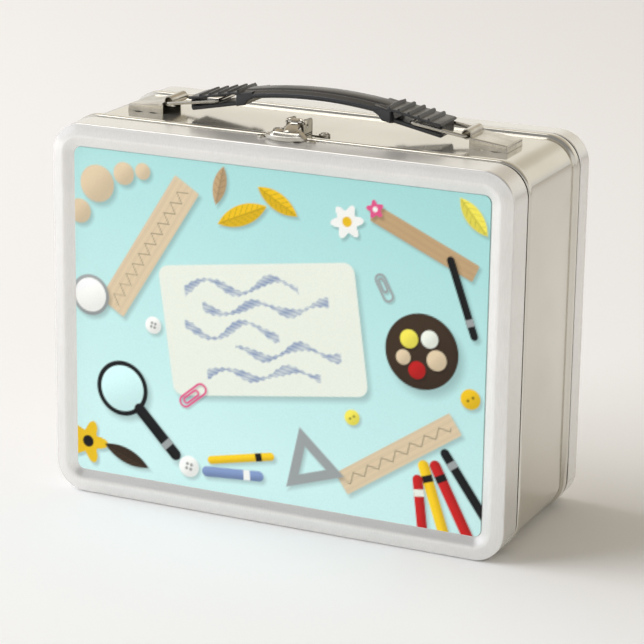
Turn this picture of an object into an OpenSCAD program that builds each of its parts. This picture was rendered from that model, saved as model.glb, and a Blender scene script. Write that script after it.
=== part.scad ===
// Tin lunch box: a band between a hinged front cover and a fixed back cover,
// with a rising handle on two wire links and a lift latch on top.
// Frame: +X to the right, +Y to the back, +Z up. The origin is on the base plane,
// in the middle of the width and of the depth.

/* [Case] */
// Overall width of the case
case_w = 221; // [190:1:300]
// Height of the case without its handle
case_h = 173.5; // [130:0.5:240]
// Radius of the case's corners
corner_r = 14.5; // [13:0.5:24]
// Thickness of the tin plate
sheet = 0.6; // [0.4:0.1:0.8]

/* [Covers] */
// Depth of the front cover's flange
lid_flange = 15.4; // [13:0.2:24]
// Depth of the back cover's flange
back_flange = 11.9; // [8:0.1:24]
// Rounding of the covers' outer edge
edge_r = 0.9; // [0.6:0.1:1.4]
// Distance of the raised crest from the outline
crest_in = 5.7; // [4:0.1:7]
// Height of the crest above the covers' edge
crest_rise = 1.2; // [0.4:0.1:2]
// Half width of the crest's rounded top
crest_soft = 1; // [0.4:0.1:1.6]
// Distance of the recessed panel from the outline
panel_in = 10.9; // [9:0.1:12]
// Depth of the print's face behind the covers' edge
panel_sink = 0.8; // [0.2:0.1:2]
// Thickness of the printed insert
print_t = 0.4; // [0.2:0.1:0.8]
// Gap round the printed insert
print_fit = 0.1; // [0.05:0.05:0.4]

/* [Band] */
// Depth of the band between the two parting gaps
band_d = 62.7; // [52:0.1:100]
// Distance of the band's wall inside the covers' outline
wall_in = 0.9; // [0.9:0.05:1.4]
// Parting gap between the front cover and the band
front_gap = 1.3; // [0.8:0.1:2]
// Parting gap between the band and the back cover
rear_gap = 1.5; // [0.8:0.1:2.5]
// Width of the half-round bead at the front
front_bead = 5.2; // [4:0.1:7]
// Width of the flat bead at the rear
rear_bead = 6.4; // [4:0.1:9]
// Length of the slope that leads up to the rear bead
rear_ramp = 4; // [2:0.1:6]
// Rounding of the rear bead's back edge
bead_round = 0.6; // [0.3:0.1:1]
// Length of the lip under the front cover's flange
lip_cover = 4; // [2:0.1:5]
// Gap between the rear lip's end and the back cover
lip_end_gap = 0.1; // [0.05:0.05:0.4]

/* [Hinges] */
// Distance of each hinge from the middle
hinge_x = 62; // [40:1:72]
// Width of a hinge
hinge_w = 30; // [20:1:36]
// Diameter of the hinge barrel
barrel_d = 3.4; // [3:0.1:4]
// Height of the barrel above the base plane
barrel_up = 0.2; // [0.1:0.05:0.5]
// Diameter of the hinge pin
hinge_pin_d = 1.6; // [1.2:0.1:1.8]
// Thickness of the hinge leaves
leaf_t = 0.6; // [0.4:0.1:0.7]
// Length of the body leaf behind the axis
body_leaf = 14; // [10:0.5:20]
// Length of the cover leaf ahead of the axis
lid_leaf = 13; // [9:0.5:13.5]
// Width of the middle knuckle
knuckle_w = 10; // [6:0.5:14]
// Gap between neighbouring knuckles
knuckle_gap = 0.3; // [0.2:0.05:0.6]
// Clear space round the barrel in the sheets
barrel_clear = 0.3; // [0.2:0.05:0.6]
// Clear space beside the hinge in the band's notch
notch_side = 0.5; // [0.3:0.1:1]
// How far the front cover's bottom flange stops short of its rear edge
bottom_trim = 2.4; // [2:0.1:3]
// Distance between the rivets of a body leaf
hinge_rivet_gap = 18; // [12:1:20]
// Distance of the hinge rivets behind the axis
hinge_rivet_back = 9; // [7:0.5:10]

/* [Handle brackets] */
// Distance of the cap's open end from the middle
cap_x = 74.6; // [70:0.1:76]
// Length of the cap
cap_len = 17.75; // [14:0.25:18.5]
// Width of the cap, front to back
cap_w = 18.4; // [18.2:0.1:24]
// Height of the cap at its open end
cap_h_in = 5.1; // [4.6:0.1:6.5]
// Height of the cap at its outer end
cap_h_out = 3; // [2.4:0.1:4]
// Thickness of the bracket's sheet
cap_t = 0.9; // [0.6:0.1:1.2]
// Length of the rolled tube, front to back
tube_len = 14.2; // [11:0.1:16]
// Outer diameter of the rolled tube
tube_d = 4.4; // [4:0.1:5]
// Width of a fixing tab
tab_w = 4.5; // [3:0.1:5]
// Distance between the two tabs on one side
tab_pitch = 7.4; // [6:0.1:8.5]
// Clearance of the tabs in their slots
tab_fit = 0.12; // [0.05:0.01:0.3]
// Length of a tab's clinched foot
tab_foot = 2; // [1.5:0.1:3]

/* [Handle links] */
// Diameter of the wire
wire_d = 1.7; // [1.4:0.1:1.8]
// Running clearance between the wire and its tube
wire_fit = 0.1; // [0.05:0.01:0.1]
// Distance of the tube's axis from the middle
axle_x = 72.4; // [70:0.1:73]
// Height of the tube's axis above the band
axle_z = 5; // [4.6:0.1:5.4]
// Distance of the crossbar from the middle, handle down
bar_x = 47; // [46:0.1:49]
// Height of the crossbar above the band, handle down
bar_z = 8.65; // [8.5:0.05:8.8]
// Gap between the tube's ends and the wire's sides
link_side = 0.3; // [0.3:0.05:0.6]
// Radius of the wire's bends
bend_r = 1; // [0.95:0.05:1.2]

/* [Handle grip] */
// Width of the grip, front to back
grip_w = 18.8; // [18.6:0.1:24]
// Height of the grip's top above the band
grip_top = 17.7; // [17.5:0.1:21]
// Radius of the grip's arched top
arch_r = 205; // [180:5:220]
// Height of the grip's underside above the band
grip_under = 13.8; // [13:0.1:14.2]
// Radius of the underside's arch
under_r = 200; // [180:10:300]
// Drop of the crowned top at the grip's front and back edges
crown_drop = 1.5; // [0.5:0.1:2]
// Radius at the ends of the finger opening
finger_r = 7; // [5:0.5:8]
// Half length of the finger opening
finger_half = 34; // [30:0.5:35]
// Where the arch ends and the flaps start
flap_x = 36.5; // [36:0.1:38]
// Height of the flaps' top at their start
flap_z = 14.4; // [14:0.1:15]
// Fall of the flaps for each millimetre outwards
flap_slope = 0.2; // [0.18:0.01:0.22]
// Distance of the flaps' tips from the middle
tip_x = 61.3; // [61:0.1:62.5]
// Thickness of the upper flap
flap_t = 1.4; // [1.2:0.1:1.6]
// Height of the slot between the flaps
slot_h = 3.5; // [3.4:0.05:3.7]
// Thickness of the lower flap
lower_t = 1.9; // [1.4:0.05:2.2]
// Length of the solid web at the slot's inner end
web_len = 3.8; // [2:0.1:5]
// Length of the stop at the slot's outer end
stop_len = 1.5; // [1:0.1:2]
// Free space between the wire's sides and the lower flap
flap_side = 0.4; // [0.3:0.05:0.8]
// Travel of the crossbar that is left before the stop
bar_spare = 0.5; // [0.3:0.05:1]
// Number of ribs on each flap
rib_count = 5; // [3:1:5]
// Distance between ribs
rib_pitch = 4.72; // [4:0.01:4.9]
// Width of a rib
rib_w = 1.2; // [0.8:0.1:1.6]
// Height of a rib
rib_h = 0.6; // [0.3:0.1:0.9]
// Depth of the grooves along the grip
groove_d = 0.6; // [0.3:0.1:0.9]
// Distance of the grooves from the grip's middle
groove_y = 4.2; // [3:0.1:5]

/* [Latch] */
// Distance of the latch from the middle
latch_x = -1; // [-6:0.5:6]
// Distance of the latch pin behind the front bead
latch_pin_back = 1.3; // [1:0.1:2]
// Height of the latch pin above the band
latch_pin_z = 7; // [6.6:0.1:8]
// Diameter of the latch pin
latch_pin_d = 1.4; // [1:0.1:1.6]
// Running clearance round the latch pin
latch_pin_fit = 0.05; // [0.02:0.01:0.1]
// Outer diameter of the lever's barrel
lever_barrel_d = 3.2; // [2.8:0.1:3.4]
// Thickness of the lever's sheet
lever_t = 0.8; // [0.6:0.1:1]
// Width of the lever's nose
nose_w = 9.2; // [8.6:0.1:11]
// Drop of the nose's top below the latch pin
nose_drop = 1.6; // [1.3:0.1:2]
// Distance from the latch pin to the foot of the nose, to the front
nose_reach = 8.2; // [7.8:0.1:8.6]
// Width of the strap between the barrel and the nose
strap_w = 3.4; // [2.6:0.1:5]
// Distance from the lever's front end to the covers' edge
pad_front = 8; // [6:0.1:8.4]
// Length of the thumb pad, side to side
pad_w = 19.6; // [14:0.1:20]
// Depth of the thumb pad, front to back
pad_d = 9.2; // [7:0.1:10]
// Height of the pad's underside above the front cover
pad_up = 0.9; // [0.9:0.05:2]
// Height of the pad's front lip
lip_up = 0.5; // [0.3:0.1:0.8]
// Width of the pad's front lip
lip_w = 0.8; // [0.6:0.1:1]
// Width of the latch box outside
box_w = 8.6; // [8:0.1:10]
// Depth of the latch box, front to back
box_d = 9.4; // [8:0.1:11]
// Height of the latch box above the band
box_h = 8.8; // [8.6:0.1:10]
// Thickness of the latch box's sheet
box_t = 0.8; // [0.6:0.1:1]
// Side gap between the lever's barrel and the box
barrel_side = 0.3; // [0.25:0.05:0.5]
// Diameter of the pierced holes in the box's sides
pierce_d = 1.5; // [1:0.1:2]
// Thickness of the base plate
base_t = 0.8; // [0.6:0.1:1]
// Distance of the base plate's ears from its middle
ear_x = 11.1; // [10:0.1:14]
// Radius of an ear
ear_r = 2.6; // [2.2:0.1:3]
// Radius of the base plate's front lobes
front_lobe_r = 2.2; // [1.8:0.1:2.4]
// Thickness of the strike plate
strike_t = 0.45; // [0.4:0.05:0.8]
// Distance of the strike plate's lobes from its middle
lobe_x = 11.7; // [11.6:0.1:14]
// Radius of a lobe
lobe_r = 2.2; // [1.9:0.1:2.6]
// Depth of the strike plate, front to back
strike_d = 6.4; // [5.6:0.1:6.5]
// Height of the strike's detent
detent_h = 0.3; // [0.2:0.05:0.35]

/* [Rivets] */
// Diameter of the rivets' shanks
rivet_d = 1.6; // [1.2:0.1:2]
// Diameter of the rivets' heads
rivet_head_d = 2.8; // [2.4:0.1:3.4]
// Height of the rivets' heads
rivet_head_h = 0.6; // [0.4:0.05:0.65]
// Clearance of a rivet in its hole
rivet_fit = 0.05; // [0.02:0.01:0.1]

/* [Hidden] */
$fn = 64;
TIN = [0.80, 0.79, 0.76];
NICKEL = [0.72, 0.69, 0.62];
PLASTIC = [0.16, 0.16, 0.17];
eps = 0.01;
far = 500;

// Depths, counted back from the plane of the front cover's edge
band_front = lid_flange + front_gap;
band_back = band_front + band_d;
back_front = band_back + rear_gap;
case_back = back_front + back_flange;
depth_mid = case_back / 2;
lip_front = lid_flange - lip_cover;
lip_back = case_back - sheet - lip_end_gap;
panel_face = panel_sink + print_t;

// Heights
band_top = case_h - wall_in;
band_floor = wall_in;

// Hinge axis
hinge_depth = lid_flange + front_gap / 2;
hinge_z = barrel_up + barrel_d / 2;
trim_depth = lid_flange - bottom_trim;
trim_half = case_w / 2 - corner_r + sqrt(pow(corner_r, 2) - pow(corner_r - hinge_z, 2)) + 1;

// Links
link_dx = axle_x - bar_x;
link_dz = bar_z - axle_z;
link_len = sqrt(link_dx * link_dx + link_dz * link_dz);
link_rest = atan2(link_dz, link_dx);
rod_y = tube_len / 2 + link_side + wire_d / 2;

// Grip
slot_out = tip_x - stop_len;
arch_deep = 12;
lower_half = rod_y - wire_d / 2 - flap_side;
stop_half = lower_half - 0.4;

// Latch
latch_depth = band_front + front_bead + latch_pin_back;
latch_pin_h = band_top + latch_pin_z;
pad_z = case_h + pad_up;
box_front = latch_depth - lever_barrel_d / 2;
box_back = box_front + box_d;
strike_front = pad_front + 0.8;

// ---- Helpers ------------------------------------------------------------

function arc(cx, cy, r, a0, a1, n) =
    [for (i = [0 : n]) let (a = a0 + (a1 - a0) * i / n) [cx + r * cos(a), cy + r * sin(a)]];

function reversed(pts) = [for (i = [len(pts) - 1 : -1 : 0]) pts[i]];

// Moves every point by a fixed amount
function shifted(pts, dx, dy) = [for (p = pts) [p[0] + dx, p[1] + dy]];

// Stands a shape drawn as (right, down, depth) upright in the case's frame
module upright() {
    translate([0, -depth_mid, case_h / 2]) rotate([-90, 0, 0]) children();
}

// Rectangle with round corners, centred
module rounded(w, h, r) {
    square([w - 2 * r, h], center = true);
    square([w, h - 2 * r], center = true);
    for (sx = [-1, 1], sy = [-1, 1])
        translate([sx * (w / 2 - r), sy * (h / 2 - r)]) circle(r);
}

// One straight side of a sweep, with its face towards +X
module sweep_side(half, length) {
    rotate([90, 0, 0]) linear_extrude(length, center = true) translate([half, 0]) children();
}

// Carries a profile (outwards from the case's outline, depth) round the case
module around() {
    straight_w = case_w - 2 * corner_r;
    straight_h = case_h - 2 * corner_r;
    for (turn = [0, 180]) {
        rotate([0, 0, turn]) sweep_side(case_w / 2, straight_h) children();
        rotate([0, 0, turn + 90]) sweep_side(case_h / 2, straight_w) children();
    }
    for (q = [0 : 3])
        translate([(q == 0 || q == 3 ? 1 : -1) * straight_w / 2, (q < 2 ? 1 : -1) * straight_h / 2, 0])
            rotate([0, 0, 90 * q])
                rotate_extrude(angle = 90, $fn = 96) translate([corner_r, 0]) children();
}

// Puts a shape drawn with its bar axis along Z across the case, along X
module along_x() {
    rotate([0, 90, 0]) children();
}

// A side profile (x, z) made into a plate that is centred on y = 0
module side_plate(width) {
    rotate([90, 0, 0]) linear_extrude(width, center = true) children();
}

// A profile in (y, z) made into a plate that is centred on x = 0
module cross_plate(width) {
    rotate([90, 0, 90]) linear_extrude(width, center = true) children();
}

// ---- Covers -------------------------------------------------------------

// Outer line of a cover from its flange's rear edge to the print
function cover_outer(flange) = concat(
    [[0, flange]],
    arc(-edge_r, edge_r, edge_r, 0, -90, 4),
    [[-crest_in + crest_soft, -crest_rise + 0.3 * crest_soft],
     [-crest_in, -crest_rise],
     [-crest_in - crest_soft, -crest_rise + 0.3 * crest_soft],
     [-panel_in, panel_sink]]);

module cover_profile(flange) {
    polygon(concat(
        cover_outer(flange),
        [[-panel_in, panel_face + sheet],
         [-panel_in + 2 * sheet, panel_face + sheet],
         [-crest_in - crest_soft, -crest_rise + 0.3 * crest_soft + sheet],
         [-crest_in, -crest_rise + sheet],
         [-crest_in + crest_soft, -crest_rise + 0.3 * crest_soft + sheet],
         [-edge_r, sheet],
         [-sheet, edge_r],
         [-sheet, flange]]));
}

// A pressed cover with its face at depth 0 and its flange towards +depth
module cover(flange) {
    around() cover_profile(flange);
    lap = sheet;
    translate([0, 0, panel_face])
        linear_extrude(sheet)
            rounded(case_w - 2 * (panel_in - lap), case_h - 2 * (panel_in - lap), corner_r - panel_in + lap);
}

module front_cover() {
    color(TIN) difference() {
        upright() cover(lid_flange);
        translate([-trim_half, trim_depth - depth_mid, -1])
            cube([2 * trim_half, bottom_trim + 1, 1 + hinge_z + 0.3]);
        for (s = [-1, 1]) at_strike_rivet(s)
            cylinder(d = rivet_d + 2 * rivet_fit, h = 4 * sheet + 2, center = true);
    }
}

module back_cover() {
    color(TIN) upright()
        translate([0, 0, case_back]) mirror([0, 0, 1]) cover(back_flange);
}

module front_print() {
    color([0.72, 0.89, 0.88]) upright()
        translate([0, 0, panel_sink])
            linear_extrude(print_t)
                rounded(case_w - 2 * (panel_in + print_fit), case_h - 2 * (panel_in + print_fit),
                    corner_r - panel_in - print_fit);
}

// ---- Band ---------------------------------------------------------------

bead_r = (pow(front_bead / 2, 2) + pow(wall_in, 2)) / (2 * wall_in);
bead_a = asin(front_bead / 2 / bead_r);

// Outer line of the band from its front lip to its rear lip
band_outer = concat(
    [[-wall_in, lip_front]],
    arc(-bead_r, band_front + front_bead / 2, bead_r, -bead_a, bead_a, 8),
    [[-wall_in, band_back - rear_bead - rear_ramp],
     [0, band_back - rear_bead],
     [0, band_back - bead_round],
     [-wall_in, band_back],
     [-wall_in, lip_back]]);

module hinge_notch(side) {
    width = hinge_w + 2 * notch_side;
    back = hinge_depth + barrel_d / 2 + barrel_clear;
    translate([side * hinge_x - width / 2, lip_front - 1 - depth_mid, -1])
        cube([width, back - lip_front + 1, band_floor + 2 * sheet + 1]);
}

module body_band() {
    color(TIN) difference() {
        upright() around()
            polygon(concat(band_outer, reversed(shifted(band_outer, -sheet, 0))));
        for (side = [-1, 1]) {
            hinge_notch(side);
            tab_places(side) tab_slot();
            at_hinge_rivets(side)
                cylinder(d = rivet_d + 2 * rivet_fit, h = 4 * sheet, center = true);
            at_base_rivet(side)
                cylinder(d = rivet_d + 2 * rivet_fit, h = 4 * sheet, center = true);
            at_strike_rivet(side) lip_notch();
        }
    }
}

// Notch in the band's front lip, so that a strike rivet's inner head passes as the cover swings
module lip_notch() {
    half = rivet_head_d / 2 + 0.5;
    translate([-half, -far, -3 * sheet]) cube([2 * half, far + half, 5 * sheet]);
}

// ---- Front cover's hinges ----------------------------------------------

module at_hinge(side) {
    translate([side * hinge_x, hinge_depth - depth_mid, hinge_z]) children();
}

module at_hinge_rivets(side) {
    for (s = [-1, 1])
        translate([side * hinge_x + s * hinge_rivet_gap / 2,
            hinge_depth + hinge_rivet_back - depth_mid, band_floor + sheet / 2])
            children();
}

module barrel(from, to) {
    translate([from, 0, 0]) along_x() cylinder(d = barrel_d, h = to - from);
}

module pin_bore() {
    along_x() cylinder(d = hinge_pin_d + 2 * rivet_fit, h = hinge_w + 2, center = true);
}

module body_hinge_leaf(side) {
    inner = knuckle_w / 2 + knuckle_gap;
    leaf_z = band_floor + sheet - hinge_z;
    color(NICKEL) difference() {
        at_hinge(side) difference() {
            union() {
                for (s = [0, 1]) mirror([s, 0, 0]) {
                    barrel(inner, hinge_w / 2);
                    translate([inner, 0, leaf_z]) cube([hinge_w / 2 - inner, body_leaf, leaf_t]);
                }
                translate([-hinge_w / 2, barrel_d / 2 + knuckle_gap, leaf_z])
                    cube([hinge_w, body_leaf - barrel_d / 2 - knuckle_gap, leaf_t]);
            }
            pin_bore();
        }
        at_hinge_rivets(side)
            cylinder(d = rivet_d + 2 * rivet_fit, h = 6 * sheet, center = true);
    }
}

module cover_hinge_leaf(side) {
    leaf_z = sheet - hinge_z;
    reach = hinge_depth - trim_depth;
    color(NICKEL) at_hinge(side) difference() {
        union() {
            barrel(-knuckle_w / 2, knuckle_w / 2);
            translate([-knuckle_w / 2, -reach - 1, leaf_z])
                cube([knuckle_w, reach + 1 - barrel_d / 4, leaf_t]);
            translate([-hinge_w / 2, -lid_leaf, leaf_z])
                cube([hinge_w, lid_leaf - reach, leaf_t]);
        }
        pin_bore();
    }
}

module hinge_pin(side) {
    color(NICKEL) at_hinge(side) along_x() cylinder(d = hinge_pin_d, h = hinge_w, center = true);
}

module hinge_rivets() {
    color(NICKEL) for (side = [-1, 1]) at_hinge_rivets(side) {
        cylinder(d = rivet_d, h = 2 * (sheet / 2 + leaf_t), center = true);
        translate([0, 0, -sheet / 2 - rivet_head_h]) cylinder(d = rivet_head_d, h = rivet_head_h);
        translate([0, 0, sheet / 2 + leaf_t]) cylinder(d = rivet_head_d, h = rivet_head_h);
    }
}

// ---- Handle brackets ----------------------------------------------------

// Mirrors a right-hand piece to the left for side -1, on the band's top
module on_top(side) {
    translate([0, 0, band_top]) mirror([side < 0 ? 1 : 0, 0, 0]) children();
}

cap_end = cap_x + cap_len;

// The four tab places of one bracket, each with +Y pointing to its outer face
module tab_places(side) {
    on_top(side) for (sy = [-1, 1], s = [-1, 1])
        translate([cap_x + cap_len / 2 + 1 + s * tab_pitch / 2, sy * cap_w / 2, 0])
            mirror([0, sy < 0 ? 1 : 0, 0]) children();
}

module tab_slot() {
    translate([-tab_w / 2 - tab_fit, -cap_t - tab_fit, -3 * sheet])
        cube([tab_w + 2 * tab_fit, cap_t + 2 * tab_fit, 5 * sheet]);
}

module tab() {
    drop = sheet + tab_fit + cap_t;
    translate([-tab_w / 2, -cap_t, -drop]) cube([tab_w, cap_t, drop + cap_t]);
    translate([-tab_w / 2, -cap_t - tab_foot, -drop]) cube([tab_w, tab_foot + eps, cap_t]);
}

module cap_shell() {
    fall = (cap_h_in - cap_h_out) / cap_len;
    difference() {
        side_plate(cap_w)
            polygon([[cap_x, 0], [cap_x, cap_h_in], [cap_end, cap_h_out], [cap_end, 0]]);
        side_plate(cap_w - 2 * cap_t)
            polygon([[cap_x - 1, -1], [cap_x - 1, cap_h_in - cap_t + fall],
                [cap_end - cap_t, cap_h_out - cap_t + fall * cap_t], [cap_end - cap_t, -1]]);
    }
}

module handle_bracket(side) {
    color(NICKEL) {
        on_top(side) {
            cap_shell();
            difference() {
                union() {
                    translate([axle_x, 0, axle_z]) rotate([90, 0, 0])
                        cylinder(d = tube_d, h = tube_len, center = true);
                    translate([axle_x + 1, -tube_len / 2, cap_h_in - cap_t])
                        cube([cap_x - axle_x, tube_len, cap_t]);
                }
                translate([axle_x, 0, axle_z]) rotate([90, 0, 0])
                    cylinder(d = wire_d + 2 * wire_fit, h = tube_len + 2, center = true);
            }
        }
        tab_places(side) tab();
    }
}

// ---- Handle links -------------------------------------------------------

module wire_bend() {
    rotate_extrude(angle = 90) translate([bend_r, 0]) circle(d = wire_d, $fn = 32);
}

// Closed wire loop from the tube's axis at u = 0 to the crossbar at u = link_len
module wire_loop() {
    side_len = link_len - 2 * bend_r;
    bar_len = 2 * (rod_y - bend_r);
    for (s = [-1, 1])
        translate([bend_r, s * rod_y, 0]) along_x() cylinder(d = wire_d, h = side_len, $fn = 32);
    for (u = [0, link_len])
        translate([u, 0, 0]) rotate([90, 0, 0])
            cylinder(d = wire_d, h = bar_len, center = true, $fn = 32);
    for (q = [0 : 3]) {
        u = q == 0 || q == 3 ? link_len - bend_r : bend_r;
        v = (q < 2 ? 1 : -1) * (rod_y - bend_r);
        translate([u, v, 0]) rotate([0, 0, 90 * q]) wire_bend();
    }
}

module handle_link(side) {
    color(NICKEL) on_top(side)
        translate([axle_x, 0, axle_z]) rotate([0, 180 + link_rest, 0]) wire_loop();
}

// ---- Handle grip --------------------------------------------------------

function flap_top(x) = flap_z - flap_slope * (x - flap_x);
function slot_top(x) = flap_top(x) - flap_t;
function lower_top(x) = slot_top(x) - slot_h;
function lower_under(x) = lower_top(x) - lower_t;

// Cross-section of the arch as (radius, y): crowned, with two grooves
module arch_section() {
    half = grip_w / 2;
    crown_r = (half * half + crown_drop * crown_drop) / (2 * crown_drop);
    crown_a = asin(half / crown_r);
    difference() {
        polygon(concat([[arch_r - arch_deep, -half]],
            arc(arch_r - crown_r, 0, crown_r, -crown_a, crown_a, 12),
            [[arch_r - arch_deep, half]]));
        for (s = [-1, 1])
            translate([arch_r - pow(groove_y, 2) / (2 * crown_r), s * groove_y])
                circle(groove_d, $fn = 24);
    }
}

module arch() {
    sweep = 2 * asin(flap_x / arch_r);
    intersection() {
        translate([0, 0, grip_top - arch_r]) rotate([90, 0, 0]) rotate([0, 0, 90 - sweep / 2])
            rotate_extrude(angle = sweep, $fn = 360) arch_section();
        side_plate(grip_w)
            polygon([[-flap_x, lower_top(flap_x)], [-flap_x, grip_top + 1],
                [flap_x, grip_top + 1], [flap_x, lower_top(flap_x)]]);
    }
}

// Everything under the arch's belly, between the two webs
module finger_space() {
    end_drop = under_r - sqrt(pow(under_r, 2) - pow(finger_half - finger_r, 2));
    side_plate(grip_w + 2)
        polygon([[-finger_half, 0], [-finger_half, grip_under - end_drop - finger_r],
            [finger_half, grip_under - end_drop - finger_r], [finger_half, 0]]);
    intersection() {
        translate([0, 0, grip_under - under_r]) rotate([90, 0, 0])
            cylinder(r = under_r, h = grip_w + 2, center = true, $fn = 360);
        translate([-finger_half + finger_r, -grip_w, 0])
            cube([2 * (finger_half - finger_r), 2 * grip_w, 2 * grip_under]);
    }
    for (s = [-1, 1])
        translate([s * (finger_half - finger_r), 0, grip_under - end_drop - finger_r])
            rotate([90, 0, 0]) cylinder(r = finger_r, h = grip_w + 2, center = true);
}

module flap() {
    join = 1;
    x0 = flap_x - join;
    side_plate(grip_w)
        polygon([[x0, flap_top(x0)], [tip_x, flap_top(tip_x)],
            [tip_x, slot_top(tip_x)], [x0, slot_top(x0)]]);
    side_plate(2 * lower_half)
        polygon([[x0, lower_top(x0)], [tip_x, lower_top(tip_x)],
            [tip_x, lower_under(tip_x) + lower_t / 2], [tip_x - lower_t / 2, lower_under(tip_x - lower_t / 2)],
            [x0, lower_under(x0)]]);
    side_plate(2 * stop_half)
        polygon([[slot_out, slot_top(slot_out) + flap_t / 2], [tip_x, slot_top(tip_x) + flap_t / 2],
            [tip_x, lower_top(tip_x) - lower_t / 2], [slot_out, lower_top(slot_out) - lower_t / 2]]);
    for (i = [0 : rib_count - 1]) {
        x = flap_x + i * rib_pitch;
        side_plate(grip_w)
            polygon([[x - rib_w / 2, flap_top(x) - flap_t / 2], [x - rib_w / 2, flap_top(x) + rib_h],
                [x + rib_w / 2, flap_top(x) + rib_h], [x + rib_w / 2, flap_top(x) - flap_t / 2]]);
    }
}

// Solid end between the finger opening and the slot
module web() {
    inner = finger_half - finger_r;
    outer = flap_x + web_len - 2;
    side_plate(grip_w)
        polygon([[inner, lower_under(flap_x)], [inner, flap_top(flap_x)],
            [flap_x, flap_top(flap_x)], [outer, slot_top(outer) + flap_t / 2],
            [outer, lower_under(outer)]]);
}

module handle_grip() {
    color(PLASTIC) translate([0, 0, band_top]) {
        difference() {
            union() {
                arch();
                for (m = [0, 1]) mirror([m, 0, 0]) web();
            }
            finger_space();
        }
        for (m = [0, 1]) mirror([m, 0, 0]) flap();
    }
}

// ---- Latch --------------------------------------------------------------

// Frame of the latch: its middle in X, depth counted from the covers' edge
module at_latch() {
    translate([latch_x, -depth_mid, 0]) children();
}

module at_base_rivet(s) {
    at_latch() translate([s * ear_x, box_back - ear_r, band_top - sheet / 2]) children();
}

module at_strike_rivet(s) {
    at_latch() translate([s * lobe_x, strike_front + strike_d - lobe_r, case_h - sheet / 2]) children();
}

module latch_base_plate() {
    front = band_front + front_bead + barrel_clear;
    color(NICKEL) difference() {
        at_latch() translate([0, 0, band_top]) linear_extrude(base_t) {
            translate([-box_w / 2 - 2, front]) square([box_w + 4, box_back - front]);
            for (s = [-1, 1]) {
                translate([s * (ear_x - 0.8), front + front_lobe_r]) circle(front_lobe_r);
                translate([s > 0 ? 0 : 0.8 - ear_x, front + front_lobe_r / 2]) square([ear_x - 0.8, front_lobe_r]);
                translate([s * ear_x, box_back - ear_r]) circle(ear_r);
                translate([s > 0 ? 0 : -ear_x, box_back - ear_r - ear_r / 2]) square([ear_x, ear_r]);
            }
        }
        for (s = [-1, 1]) at_base_rivet(s)
            cylinder(d = rivet_d + 2 * rivet_fit, h = 6 * base_t, center = true);
    }
}

module latch_box() {
    z0 = band_top + base_t;
    wall_h = band_top + box_h - z0;
    front = band_front + front_bead + barrel_clear;
    color(NICKEL) at_latch() difference() {
        union() {
            translate([-box_w / 2, front, z0]) cube([box_w, box_back - front, box_t]);
            translate([-box_w / 2, box_back - box_t, z0]) cube([box_w, box_t, wall_h * 0.6]);
            for (s = [-1, 1])
                translate([s > 0 ? box_w / 2 - box_t : -box_w / 2, box_front, z0])
                    cube([box_t, box_d, wall_h]);
        }
        translate([0, latch_depth, latch_pin_h]) along_x()
            cylinder(d = latch_pin_d + 2 * latch_pin_fit, h = box_w + 2, center = true);
        translate([0, latch_depth + 2.4, latch_pin_h - 2]) along_x()
            cylinder(d = pierce_d, h = box_w + 2, center = true, $fn = 32);
    }
}

module latch_pin() {
    color(NICKEL) at_latch() translate([0, latch_depth, latch_pin_h]) along_x() {
        cylinder(d = latch_pin_d, h = box_w + 0.6, center = true);
        for (s = [-1, 1])
            translate([0, 0, s * (box_w / 2 + 0.35)]) cylinder(d = latch_pin_d + 0.8, h = 0.5, center = true);
    }
}

// Outer line of the lever's nose as (depth, z), from the barrel to the pad
nose_line = [
    [latch_depth - 0.15 * nose_reach, latch_pin_h - 0.2],
    [latch_depth - 0.3 * nose_reach, latch_pin_h - 0.75 * nose_drop],
    [latch_depth - 0.42 * nose_reach, latch_pin_h - nose_drop],
    [latch_depth - 0.7 * nose_reach, latch_pin_h - 1.1 * nose_drop],
    [latch_depth - 0.9 * nose_reach, latch_pin_h - 1.8 * nose_drop],
    [latch_depth - nose_reach, pad_z + lever_t]];

module nose_plate(width, pts) {
    cross_plate(width)
        polygon(concat(pts, reversed(shifted(pts, lever_t * 0.55, -lever_t))));
}

// Pointed oval between two arcs, centred
module oval(w, d) {
    r = (pow(w / 2, 2) + pow(d / 2, 2)) / d;
    intersection() {
        translate([0, r - d / 2]) circle(r, $fn = 120);
        translate([0, d / 2 - r]) circle(r, $fn = 120);
    }
}

module latch_lever() {
    wide_from = 3.1;
    neck_w = box_w - 2 * box_t - 2 * barrel_side;
    color(NICKEL) at_latch() difference() {
        union() {
            translate([0, latch_depth, latch_pin_h]) along_x()
                cylinder(d = lever_barrel_d, h = neck_w, center = true);
            nose_plate(strap_w, nose_line);
            intersection() {
                nose_plate(nose_w, nose_line);
                translate([-far / 2, -far + latch_depth - wide_from, 0]) cube([far, far, far]);
            }
            translate([0, pad_front + pad_d / 2, pad_z]) {
                linear_extrude(lever_t) oval(pad_w, pad_d);
                linear_extrude(lever_t + lip_up) difference() {
                    oval(pad_w, pad_d);
                    oval(pad_w - 4 * lip_w, pad_d - 2 * lip_w);
                    translate([-far / 2, 0]) square([far, far]);
                }
            }
        }
        translate([0, latch_depth, latch_pin_h]) along_x()
            cylinder(d = latch_pin_d + 2 * latch_pin_fit, h = box_w, center = true);
    }
}

module latch_base_rivets() {
    color(NICKEL) for (s = [-1, 1]) at_base_rivet(s) {
        top = sheet / 2 + base_t;
        translate([0, 0, -sheet / 2]) cylinder(d = rivet_d, h = sheet + base_t);
        translate([0, 0, top]) cylinder(d = rivet_head_d, h = rivet_head_h);
        translate([0, 0, -sheet / 2 - rivet_head_h]) cylinder(d = rivet_head_d, h = rivet_head_h);
    }
}

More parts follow.
